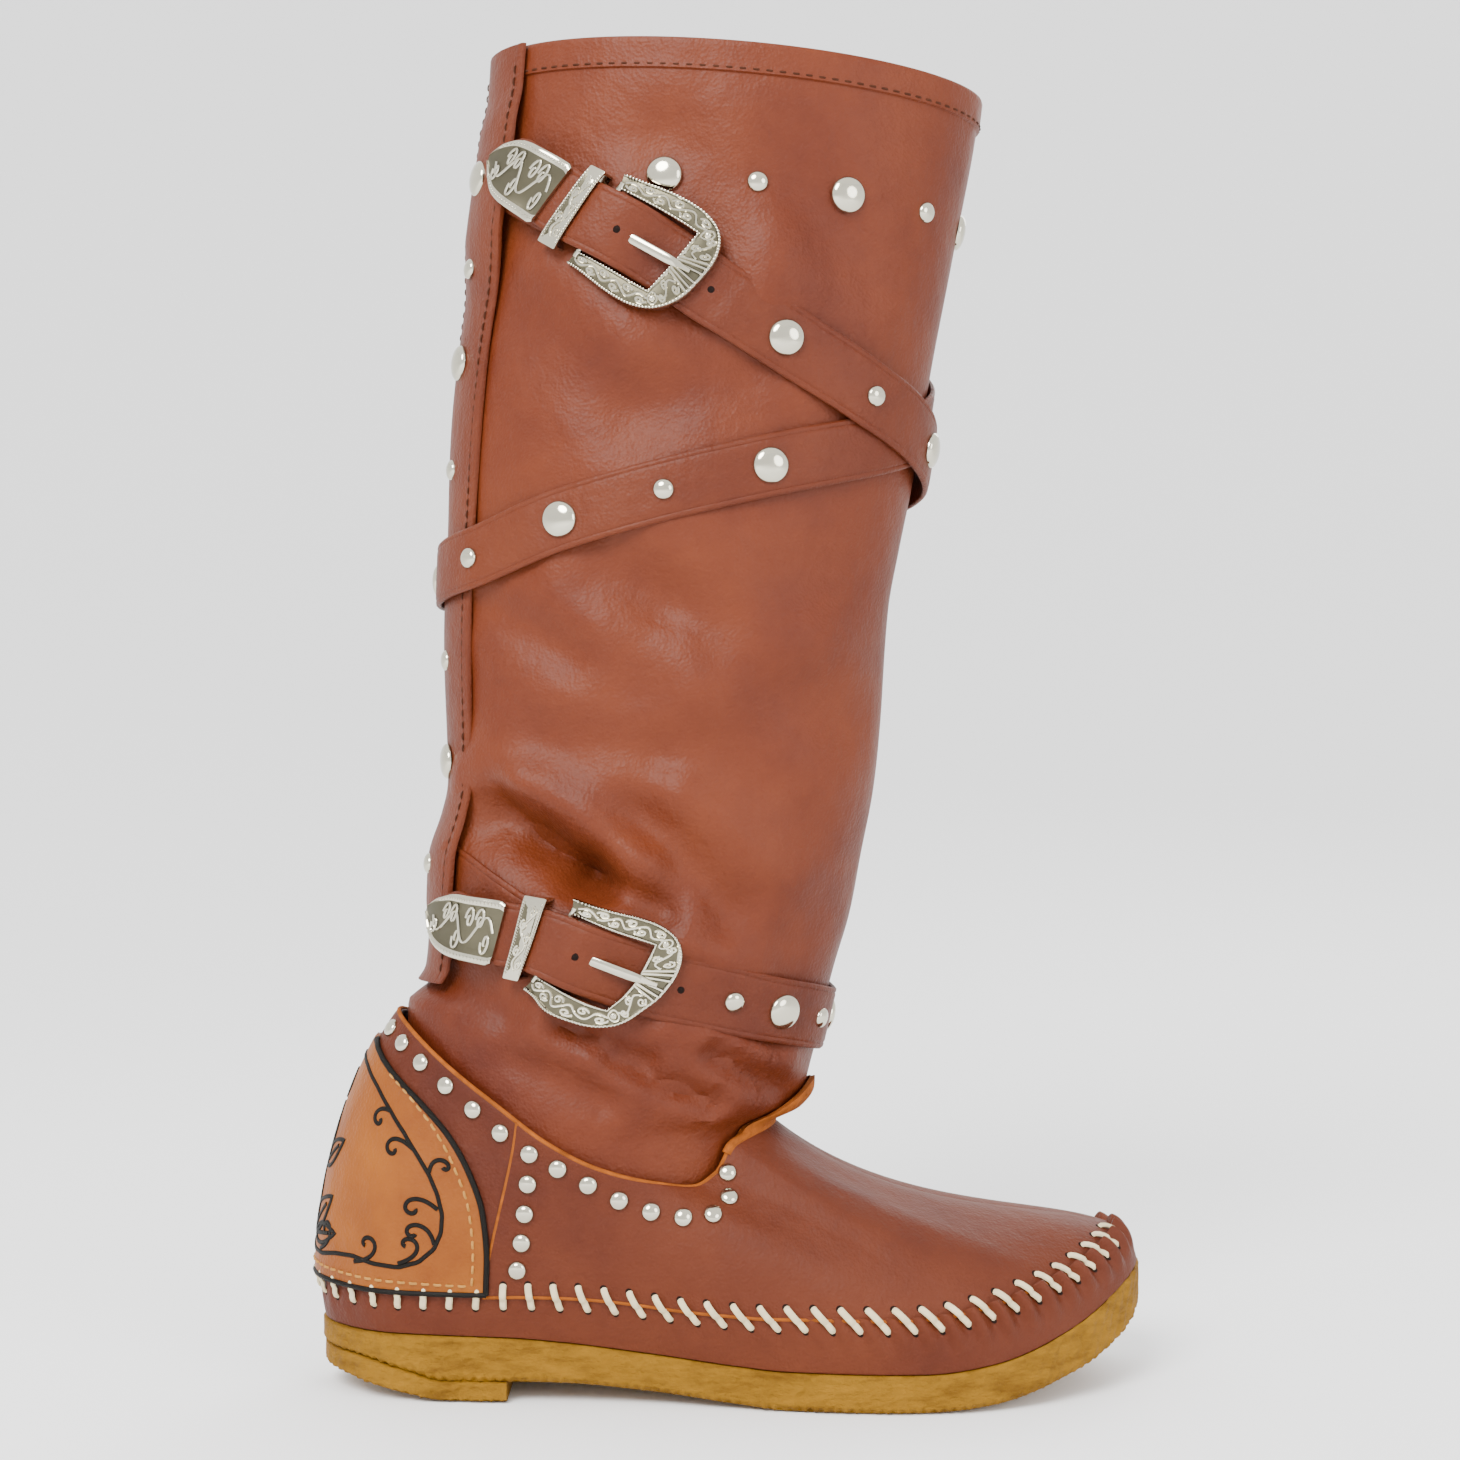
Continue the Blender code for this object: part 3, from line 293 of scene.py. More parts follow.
# Route of the ankle strap, once round.
ANKLE_ROUTE = table(
    "angle level lift",
    (-75.0, 0.3043, 0.0),
    (-39.0, 0.2850, 0.0),
    (0.0, 0.2740, 0.0),
    (90.0, 0.3330, 0.0),
    (180.0, 0.3940, 0.0),
    (205.0, 0.3810, 0.0),
    (220.0, 0.3660, 0.2),
    (236.0, 0.3475, 0.6),
    (247.5, 0.3370, 0.6),
    (262.0, 0.3220, 0.0),
    (285.0, 0.3043, 0.0))

# Where each strap's free end leaves its own first stretch behind the buckle: distance from the
# bar towards the point, then the height of its underside above the shaft.
WRAP_END = table(
    "past lift",
    (-0.0300, 0.0007),
    (-0.0235, 0.0007),
    (-0.0040, 0.0064),
    (0.0020, 0.0064),
    (0.0078, 0.0039),
    (0.0200, 0.0040),
    (0.0290, 0.0054),
    (0.0500, 0.0054))
ANKLE_END = table(
    "past lift",
    (-0.0300, 0.0007),
    (-0.0235, 0.0007),
    (-0.0040, 0.0064),
    (0.0020, 0.0064),
    (0.0078, 0.0042),
    (0.0190, 0.0052),
    (0.0270, 0.0068),
    (0.0500, 0.0068))

# Back strip: angle of its middle line, and how far its underside stands off the shaft.
STRIP_ROUTE = table(
    "level angle stand_off",
    (0.300, 188.0, 0.0028),
    (0.340, 188.0, 0.0030),
    (0.365, 188.0, 0.0044),
    (0.395, 188.5, 0.0046),
    (0.430, 189.0, 0.0020),
    (0.455, 189.5, 0.0006),
    (0.600, 191.0, 0.0006),
    (0.810, 194.0, 0.0006),
    (0.848, 195.0, 0.0024),
    (0.864, 195.0, 0.0031),
    (0.940, 195.0, 0.0031),
    (0.970, 195.0, 0.0018),
    (1.000, 195.0, 0.0018))

# Heel patch: half span round the foot at each share of its height.
PATCH_SHAPE = table(
    "up span",
    (0.00, 0.1146),
    (0.22, 0.112),
    (0.49, 0.104),
    (0.665, 0.0935),
    (0.82, 0.0785),
    (0.90, 0.0605),
    (0.935, 0.0380),
    (1.00, 0.003))

# Outline of the strap's metal tip: half width as a share of the strap's, along the tip.
TIP_SHAPE = table(
    "along wide",
    (0.00, 0.96),
    (0.06, 1.04),
    (0.50, 1.00),
    (0.68, 0.92),
    (0.86, 0.60),
    (1.00, 0.10))


def curve(rows, key, value):
    """Smooth curve through two columns of a table, which never swings past its rows."""
    places, heights = rows[key], rows[value]
    steps = np.diff(places)
    slopes = np.diff(heights) / steps
    tangents = np.concatenate((slopes[:1], np.zeros(len(steps) - 1), slopes[-1:]))
    for i in range(1, len(steps)):
        if slopes[i - 1] * slopes[i] > 0:
            tangents[i] = 2 * slopes[i - 1] * slopes[i] / (slopes[i - 1] + slopes[i])

    def at(place):
        i = np.clip(np.searchsorted(places, place) - 1, 0, len(steps) - 1)
        t = np.clip((place - places[i]) / steps[i], 0.0, 1.0)
        start, end = heights[i], heights[i + 1]
        bend = steps[i] * (t * (1 - t) ** 2 * tangents[i] - t * t * (1 - t) * tangents[i + 1])
        return start + (end - start) * t * t * (3 - 2 * t) + bend

    return at


def ease(start, end, place):
    """Smooth step from 0 at start to 1 at end."""
    t = np.clip((place - start) / (end - start), 0.0, 1.0)
    return t * t * (3 - 2 * t)


def unit(vectors):
    return vectors / np.linalg.norm(vectors, axis=-1, keepdims=True)


def spatial(*coordinates):
    """Points from their coordinates, which may be numbers or arrays of one shape."""
    return np.stack(np.broadcast_arrays(*coordinates), axis=-1)


def walk(points):
    """Distance walked along a row of points, from 0 at the first."""
    return np.concatenate(([0.0], np.cumsum(np.linalg.norm(np.diff(points, axis=0), axis=1))))


def resample(at, places, line):
    """Points of a flat line at new places along it."""
    return np.column_stack([np.interp(at, places, line[:, i]) for i in (0, 1)])


def circle(sides):
    """Angles of a regular ring's corners."""
    return np.linspace(0.0, 2 * math.pi, sides + 1)[:-1]


def signed_place(place):
    """Place round the foot, brought between -0.5 and 0.5: 0 is the heel, 0.5 the toe."""
    return (place + 0.5) % 1.0 - 0.5


def seam_at(place):
    """Height of the lace seam on the foot's curve, at any place round it."""
    return column["seam"](np.abs(signed_place(place)))


sole_top_share = curve(SOLE_SIDE, "along", "top")
sole_bottom_share = curve(SOLE_SIDE, "along", "bottom")
lift_bottom_share = curve(SOLE_SIDE, "along", "lift_bottom")
shaft_back = curve(SHAFT_SIDE, "level", "back")
shaft_front = curve(SHAFT_SIDE, "level", "front")
shaft_half = curve(SHAFT_SIDE, "level", "half_width")
top_edge_level = curve(TOP_EDGE, "along", "level")
column = {name: curve(FOOT_SIDE, "around", name) for name in FOOT_SIDE if name != "around"}
strip_angle = curve(STRIP_ROUTE, "level", "angle")
strip_off = curve(STRIP_ROUTE, "level", "stand_off")
patch_span = curve(PATCH_SHAPE, "up", "span")


def plan_curve(side):
    """Edge of the sole on one side, over the angle that makes both its ends round."""
    angles = np.arccos(1 - 2 * SOLE_PLAN["along"])
    return curve({"angle": angles, side: SOLE_PLAN[side]}, "angle", side)


EDGES = {-1: plan_curve("lateral"), 1: plan_curve("medial")}


def edge_y(along, side):
    """Sole edge's distance from the middle plane at a share of the length."""
    return EDGES[side](np.arccos(np.clip(1 - 2 * along, -1.0, 1.0))) * BALL_WIDTH


def half_outline(side, count=160):
    """Points of one half of the sole's edge from heel to toe, with their arc shares."""
    shares = (1 - np.cos(np.linspace(0.0, math.pi, count))) / 2
    points = spatial(shares * SOLE_LENGTH - HEEL_SPOT_CENTRE, edge_y(shares, side))
    walked = walk(points)
    return walked / walked[-1], points


HALVES = {-1: half_outline(-1), 1: half_outline(1)}


def half_edge(share, side):
    """Points of one half of the sole's edge and their outward directions."""
    shares, points = HALVES[side]

    def place(at):
        return spatial(*(np.interp(at, shares, points[:, i]) for i in (0, 1)))

    run = place(np.minimum(share + 0.02, 1.0)) - place(np.maximum(share - 0.02, 0.0))
    outward = unit(spatial(-run[..., 1], run[..., 0]) * side)
    heel, toe = (share < 0.004)[..., None], (share > 0.996)[..., None]
    outward = np.where(heel, (-1.0, 0.0), np.where(toe, (1.0, 0.0), outward))
    return place(share), outward


def sole_edge(place):
    """Sole's edge and outward direction at places round the foot."""
    place = signed_place(np.asarray(place, float))
    lateral, medial = half_edge(np.abs(place) / 0.5, -1), half_edge(np.abs(place) / 0.5, 1)
    is_lateral = (place < 0)[..., None]
    return tuple(np.where(is_lateral, a, b) for a, b in zip(lateral, medial))


def sole_height(x, share):
    """Height of one of the sole's side curves at a world x."""
    return share((x + HEEL_SPOT_CENTRE) / SOLE_LENGTH) * OUTSOLE_TOP


def shaft_skin(angle, height, out=0.0):
    """Points of the shaft's smooth outer skin, moved outwards by out."""
    level = np.asarray(height, float) / BOOT_HEIGHT
    back = shaft_back(level) * SOLE_LENGTH - HEEL_SPOT_CENTRE
    front = shaft_front(level) * SOLE_LENGTH - HEEL_SPOT_CENTRE
    half = shaft_half(level) * SHAFT_HALF_WIDTH
    reach = (front - back) / 2
    turn = np.radians(angle)
    outward = unit(spatial(np.cos(turn) / reach, np.sin(turn) / half))
    x = (front + back) / 2 + reach * np.cos(turn) + outward[..., 0] * out
    y = half * np.sin(turn) + outward[..., 1] * out
    return spatial(x, y, height)


def degree_arc(angle, height):
    """Length of one degree round the shaft's skin."""
    span = shaft_skin(angle + 1, height) - shaft_skin(angle - 1, height)
    return np.linalg.norm(span, axis=-1) / 2


def collar_height(angle):
    """Height of the collar's edge: lower at the front, a little crowned at the sides."""
    turn = np.radians(angle)
    fall = COLLAR_DROP * (1 + np.cos(turn)) / 2
    return BOOT_HEIGHT - fall + COLLAR_CROWN * (np.sin(turn) ** 2) / 2


def top_edge(angle):
    """Height of the foot part's top edge where it meets the shaft at this angle."""
    height = 0.2 * BOOT_HEIGHT + 0.0 * np.asarray(angle, float)
    for _ in range(12):
        along = (shaft_skin(angle, height)[..., 0] + HEEL_SPOT_CENTRE) / SOLE_LENGTH
        height = height + 0.5 * (top_edge_level(along) * BOOT_HEIGHT - height)
    return height


def foot_point(place, up):
    """Points of the foot's base skin; up runs from 0 at the sole to 1 at the top edge."""
    place, up = np.broadcast_arrays(np.asarray(place, float), np.asarray(up, float))
    wrapped = signed_place(place)
    around, side = np.abs(wrapped), np.where(wrapped < 0, -1.0, 1.0)
    edge, outward = sole_edge(wrapped)
    edge = edge - outward * FEATHER_INSET
    feather = sole_height(edge[..., 0], sole_top_share) + CLEARANCE
    foot = spatial(edge[..., 0], edge[..., 1], feather)
    angle = 180.0 - side * column["turn"](around)
    top = shaft_skin(angle, top_edge(angle), SHAFT_TO_UPPER + UPPER_WALL)
    flare = outward * column["flare"](around)[..., None]
    low = foot + spatial(flare[..., 0], flare[..., 1], column["rise"](around)) * BALL_WIDTH
    reach = column["reach"](around)
    back_out = spatial(reach, reach, 0.0)
    high = top + (foot - top) * back_out
    high[..., 2] -= column["drop"](around) * (top[..., 2] - foot[..., 2])
    up = up[..., None]
    down = 1 - up
    return foot * down ** 3 + low * 3 * up * down ** 2 + high * 3 * up ** 2 * down + top * up ** 3


def foot_normal(place, up):
    """Outward normals of the foot's skin."""
    across = foot_point(place + 0.004, up) - foot_point(place - 0.004, up)
    low, high = np.maximum(up - 0.02, 0.0), np.minimum(up + 0.02, 1.0)
    along = foot_point(place, high) - foot_point(place, low)
    return -unit(np.cross(across, along))


def foot_skin(place, up, out=0.0):
    """Points of the foot's skin moved along its normals."""
    place, up = np.broadcast_arrays(np.asarray(place, float), np.asarray(up, float))
    return foot_point(place, up) + foot_normal(place, up) * np.asarray(out, float)[..., None]


def above_seam(place, share):
    """Value of up at a share of the way from the lace seam to the top edge."""
    seam = column["seam"](np.abs(place))
    return seam + (1 - seam) * share


class Strap:
    """A strap's route on the shaft, measured along its middle line from the buckle's bar."""

    def __init__(self, route, end, bar, drift):
        self.level = curve(route, "angle", "level")
        self.lift = curve(route, "angle", "lift")
        self.end_lift = curve(end, "past", "lift")
        self.last_row, self.turns = route["angle"][0], route["angle"][-1] - route["angle"][0]
        self.bar, self.drift = bar, drift
        self.angles = np.arange(route["angle"][-1], self.last_row - 95.0, -1.0)
        points = shaft_skin(self.angles, self.height(self.angles))
        walked = walk(points)
        self.walked = walked - np.interp(-bar, -self.angles, walked)
        self.loop = self.along_at(bar - self.turns)
        self.length = self.loop + TIP_FROM_BAR + TIP_LENGTH

    def height(self, angle):
        """Middle line's height; past the last row the end lies on the first stretch."""
        past = ease(self.bar - self.turns, self.bar - self.turns - 40.0, angle)
        again = self.level(angle + self.turns) * BOOT_HEIGHT + self.drift * past
        return np.where(angle >= self.last_row, self.level(angle) * BOOT_HEIGHT, again)

    def angle_at(self, along):
        return np.interp(along, self.walked, self.angles)

    def along_at(self, angle):
        return float(np.interp(-angle, -self.angles, self.walked))

    def underside(self, along):
        """Height of the strap's underside above the shaft."""
        plain = STRAP_CLEARANCE + self.lift(self.angle_at(along)) * STRAP_THICKNESS
        return np.where(along > self.loop - 0.030, self.end_lift(along - self.loop), plain)

    def place(self, along, across, out):
        """World points at a distance along the strap, across it and off the shaft."""
        given = (np.asarray(value, float) for value in (along, across, out))
        along, across, out = np.broadcast_arrays(*given)
        angle = self.angle_at(along)
        ahead, behind = angle - 1.5, angle + 1.5
        span = shaft_skin(ahead, self.height(ahead)) - shaft_skin(behind, self.height(behind))
        slope = np.arctan2(span[..., 2], np.hypot(span[..., 0], span[..., 1]))
        height = self.height(angle)
        turned = angle + across * np.sin(slope) / degree_arc(angle, height)
        return shaft_skin(turned, height + across * np.cos(slope), out)

    def axes(self, along, across, out):
        """Directions along the strap, across it and outwards at one of its points."""
        ahead = self.place(along + 0.001, across, out) - self.place(along - 0.001, across, out)
        aside = self.place(along, across + 0.001, out) - self.place(along, across - 0.001, out)
        return unit(ahead), unit(aside), unit(np.cross(aside, ahead))


WRAP = Strap(WRAP_ROUTE, WRAP_END, WRAP_BAR_ANGLE, WRAP_END_DRIFT)
ANKLE = Strap(ANKLE_ROUTE, ANKLE_END, ANKLE_BAR_ANGLE, ANKLE_END_DRIFT)


def new_nodes(name, colour, roughness, metallic=0.0):
    """A material, its node tree and its shader."""
    made = bpy.data.materials.new(name)
    made.use_nodes = True
    made.diffuse_color = (*colour, 1.0)
    shader = made.node_tree.nodes["Principled BSDF"]
    shader.inputs["Base Color"].default_value = (*colour, 1.0)
    shader.inputs["Roughness"].default_value = roughness
    shader.inputs["Metallic"].default_value = metallic
    if not metallic:
        shader.inputs["Specular IOR Level"].default_value = 0.10
    return made, made.node_tree, shader


def noise(tree, scale, detail=4.0, roughness=0.55, stretch=None):
    """Noise on Object coordinates, optionally stretched along one axis."""
    where = tree.nodes.new("ShaderNodeTexCoord")
    source = where.outputs["Object"]
    if stretch is not None:
        mapping = tree.nodes.new("ShaderNodeMapping")
        mapping.inputs["Scale"].default_value = stretch
        tree.links.new(source, mapping.inputs["Vector"])
        source = mapping.outputs["Vector"]
    texture = tree.nodes.new("ShaderNodeTexNoise")
    texture.inputs["Scale"].default_value = scale
    texture.inputs["Detail"].default_value = detail
    texture.inputs["Roughness"].default_value = roughness
    tree.links.new(source, texture.inputs["Vector"])
    return texture.outputs["Fac"]


def pebbles(tree, scale):
    """Cells on Object coordinates, for leather grain and crepe."""
    where = tree.nodes.new("ShaderNodeTexCoord")
    texture = tree.nodes.new("ShaderNodeTexVoronoi")
    texture.inputs["Scale"].default_value = scale
    tree.links.new(where.outputs["Object"], texture.inputs["Vector"])
    return texture.outputs["Distance"]


def ramp(tree, source, *stops):
    made = tree.nodes.new("ShaderNodeValToRGB")
    elements = made.color_ramp.elements
    while len(elements) < len(stops):
        elements.new(0.5)
    for element, (place, colour) in zip(elements, stops):
        element.position = place
        element.color = (*colour, 1.0)
    tree.links.new(source, made.inputs["Fac"])
    return made.outputs["Color"]


def mixed(tree, share, first, second):
    """Mix of two colours, each a socket or a plain colour, by a socket's value."""
    made = tree.nodes.new("ShaderNodeMix")
    made.data_type = "RGBA"
    tree.links.new(share, made.inputs["Factor"])
    for source, target in ((first, made.inputs["A"]), (second, made.inputs["B"])):
        if isinstance(source, bpy.types.NodeSocket):
            tree.links.new(source, target)
        else:
            target.default_value = (*source, 1.0)
    return made.outputs["Result"]


def bump(tree, shader, *layers):
    """Chain of bumps on the shader: pairs of height socket and depth."""
    before = None
    for height, depth in layers:
        node = tree.nodes.new("ShaderNodeBump")
        node.inputs["Strength"].default_value = 1.0
        node.inputs["Distance"].default_value = depth
        tree.links.new(height, node.inputs["Height"])
        if before is not None:
            tree.links.new(before, node.inputs["Normal"])
        before = node.outputs["Normal"]
    tree.links.new(before, shader.inputs["Normal"])


def surface_value(tree, name):
    node = tree.nodes.new("ShaderNodeAttribute")
    node.attribute_name = name
    return node.outputs["Fac"]


def make_leather(name, colour, shade=1.0, roughness=0.50):
    """Waxed pull-up leather: cloudy colour, painted shade in its folds, pale worn ridges, fine
    grain.
    """
    body = np.array(colour) * shade
    made, tree, shader = new_nodes(name, tuple(body), roughness)
    clouds = noise(tree, 13.0, 6.0, 0.62)
    tint = ramp(tree, clouds, (0.30, body * (0.66, 0.52, 0.50)), (0.50, body),
                (0.72, body * (1.30, 1.50, 1.70)))
    # Painted shade: the fold value darkens creases, gather valleys and the seam's edge to near
    # black.
    tint = mixed(tree, surface_value(tree, "fold"), tint, tuple(body * (0.10, 0.05, 0.04)))
    tint = mixed(tree, surface_value(tree, "worn"), tint, tuple(body * (1.55, 1.9, 2.2)))
    tree.links.new(tint, shader.inputs["Base Color"])
    shader.inputs["Specular IOR Level"].default_value = 0.20
    creases = noise(tree, 70.0, 5.0, 0.6, stretch=(1.0, 1.0, 0.45))
    bump(tree, shader, (noise(tree, 30.0, 6.0, 0.55), 0.0022), (creases, 0.0008),
         (pebbles(tree, 1000.0), 0.00012), (noise(tree, 500.0, 3.0), 0.00010))
    return made


def make_raw_edge(name, colour):
    """Cut edge or flesh side of leather: pale, matt and fibrous."""
    made, tree, shader = new_nodes(name, colour, 0.85)
    body = np.array(colour)
    tint = ramp(tree, noise(tree, 240.0, 5.0), (0.3, body * 0.7), (0.7, body * 1.25))
    tree.links.new(tint, shader.inputs["Base Color"])
    bump(tree, shader, (noise(tree, 700.0, 4.0), 0.0003))
    return made


def make_crepe(name, colour):
    """Gum crepe: matt ochre with pits, streaks and a rough cut."""
    made, tree, shader = new_nodes(name, colour, 0.68)
    body = np.array(colour)
    streaks = noise(tree, 60.0, 6.0, 0.65, stretch=(1.0, 1.0, 3.5))
    tint = ramp(tree, streaks, (0.28, body * (0.52, 0.46, 0.40)), (0.5, body), (0.75, body * 1.25))
    tree.links.new(tint, shader.inputs["Base Color"])
    bump(tree, shader, (noise(tree, 170.0, 6.0, 0.7, stretch=(1.0, 1.0, 2.0)), 0.0016),
         (pebbles(tree, 420.0), 0.0004))
    return made


def make_nickel(name, colour, roughness):
    made, tree, shader = new_nodes(name, colour, roughness, 1.0)
    bump(tree, shader, (noise(tree, 120.0, 2.0), 0.00008))
    return made


def make_thread(name, colour):
    made, tree, shader = new_nodes(name, colour, 0.7)
    body = np.array(colour)
    tint = ramp(tree, noise(tree, 300.0, 3.0), (0.3, body * 0.82), (0.7, body * 1.08))
    tree.links.new(tint, shader.inputs["Base Color"])
    bump(tree, shader, (noise(tree, 900.0, 2.0), 0.0002))
    return made


def finish_of(name):
    """One of the boot's finishes, made when first asked for."""
    if name in bpy.data.materials:
        return bpy.data.materials[name]
    looks = bpy.context.scene.boot_looks
    leather, crepe = tuple(looks.leather_colour), tuple(looks.crepe_colour)
    makers = {
        "shaft_leather": lambda: make_leather(name, leather),
        "foot_leather": lambda: make_leather(name, leather, 0.80, 0.60),
        "strap_leather": lambda: make_leather(name, leather, 0.90, 0.50),
        "patch_leather": lambda: make_leather(name, tuple(looks.patch_colour), 1.0, 0.5),
        "raw_edge": lambda: make_raw_edge(name, (0.22, 0.058, 0.008)),
        "tan_lining": lambda: make_raw_edge(name, (0.30, 0.16, 0.07)),
        "gum_crepe_sole": lambda: make_crepe(name, crepe),
        "cream_lace": lambda: make_thread(name, tuple(looks.lace_colour)),
        "brown_thread": lambda: make_thread(name, (0.045, 0.013, 0.005)),
        "tan_thread": lambda: make_thread(name, (0.36, 0.17, 0.04)),
        # Painted shade: near-black finish of the discs that stand for holes.
        "painted_hole_shade": lambda: new_nodes(name, (0.008, 0.004, 0.003), 0.9)[0],
        "black_edge_dye": lambda: new_nodes(name, (0.006, 0.005, 0.004), 0.55)[0],
        "bright_nickel": lambda: make_nickel(name, tuple(looks.metal_colour), 0.11),
        "antiqued_nickel": lambda: make_nickel(name, (0.10, 0.09, 0.06), 0.35),
    }
    return makers[name]()


def add_grid(mesh, points, round_columns=False, round_rows=False, cap=False, finish=0):
    """Lay a grid on an array of points (rows, columns, 3) and weld or cap its ends."""
    if round_columns:
        points = np.concatenate((points, points[:, :1]), axis=1)
    if round_rows:
        points = np.concatenate((points, points[:1]), axis=0)
    rows, columns = points.shape[:2]
    verts = bmesh.ops.create_grid(mesh, x_segments=columns - 1, y_segments=rows - 1,
                                  size=1.0)["verts"]
    for vert, place in zip(verts, points.reshape(-1, 3)):
        vert.co = place
    faces = list({face for vert in verts for face in vert.link_faces})
    for face in faces:
        face.material_index = finish
    bmesh.ops.remove_doubles(mesh, verts=verts, dist=1e-7)
    if cap:
        kept = [face for face in faces if face.is_valid]
        rims = [edge for edge in {e for face in kept for e in face.edges} if edge.is_boundary]
        for face in bmesh.ops.holes_fill(mesh, edges=rims)["faces"]:
            face.material_index = finish
    return verts


def add_values(mesh, name, pairs):
    """Store one value per vertex on a bmesh as an attribute of the piece."""
    layer = mesh.verts.layers.float.get(name) or mesh.verts.layers.float.new(name)
    for vert, value in pairs:
        if vert.is_valid:
            vert[layer] = float(value)


def sheet_values(outer, inner, round_rows):
    """Values of a closed sheet's vertices in its grid's order; its inner side has none."""
    values = np.concatenate((outer, np.zeros(inner.shape[:2]), outer[:, :1]), axis=1)
    return (np.concatenate((values, values[:1])) if round_rows else values).ravel()


def new_mesh(name, mesh):
    """Smooth mesh data from a bmesh, with its faces turned outwards."""
    bmesh.ops.recalc_face_normals(mesh, faces=mesh.faces)
    data = bpy.data.meshes.new(name)
    mesh.to_mesh(data)
    mesh.free()
    data.shade_smooth()
    return data


def new_object(name, data):
    """An object of this data, in the scene."""
    made = bpy.data.objects.new(name, data)
    bpy.context.scene.collection.objects.link(made)
    return made


def add_piece(name, mesh, finishes, node=None, sharp=40.0):
    """Finish a bmesh as a piece of the boot; it may stand for a node of the frame."""
    data = new_mesh(name, mesh)
    data.set_sharp_from_angle(angle=math.radians(sharp))
    for finish in finishes:
        data.materials.append(finish_of(finish))
    made = new_object(name, data)
    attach(made, "root")
    if node is not None:
        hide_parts(node)
    return made


def sheet_rings(outer, inner):
    """Closed profile of a sheet: outer points one way, inner points back."""
    return np.concatenate((outer, inner[:, ::-1]), axis=1)


def add_tube(mesh, path, outward, radius, flat=1.0, sides=6, finish=0, pointed=True):
    """Thread, cord or scroll along a path; it is flattened towards the surface under it."""
    path, outward = np.asarray(path, float), np.asarray(outward, float)
    along = unit(np.gradient(path, axis=0))
    aside = unit(np.cross(along, outward))
    over = np.cross(aside, along)
    widths = np.full(len(path), radius)
    if pointed:
        path = np.concatenate((path[:1], path, path[-1:]))
        aside = np.concatenate((aside[:1], aside, aside[-1:]))
        over = np.concatenate((over[:1], over, over[-1:]))
        widths = np.concatenate(([0.0], widths, [0.0]))
    turns = circle(sides)
    ring = aside[:, None] * np.cos(turns)[None, :, None]
    ring = ring + over[:, None] * np.sin(turns)[None, :, None] * flat
    points = path[:, None] + ring * widths[:, None, None]
    add_grid(mesh, points, round_columns=True, finish=finish)


def add_dome(mesh, seat, outward, radius, height, sides=20, rings=6, skirt=0.0, finish=0):
    """Round stud, bead or rivet: a low dome closed by a flat underside."""
    outward = unit(np.asarray(outward, float))
    side = unit(np.cross(outward, (0.31, 0.22, 0.93)))
    up = np.cross(side, outward)
    bends = np.linspace(0.0, math.pi / 2, rings)
    wide = np.concatenate(([0.0, 1.0], np.cos(bends)))
    rise = np.concatenate(([0.0, 0.0], skirt + (height - skirt) * np.sin(bends)))
    wide[-1] = 0.0
    turns = circle(sides)
    spokes = side * np.cos(turns)[:, None] + up * np.sin(turns)[:, None]
    points = seat + spokes[None] * (wide * radius)[:, None, None] + outward * rise[:, None, None]
    add_grid(mesh, points, round_columns=True, finish=finish)
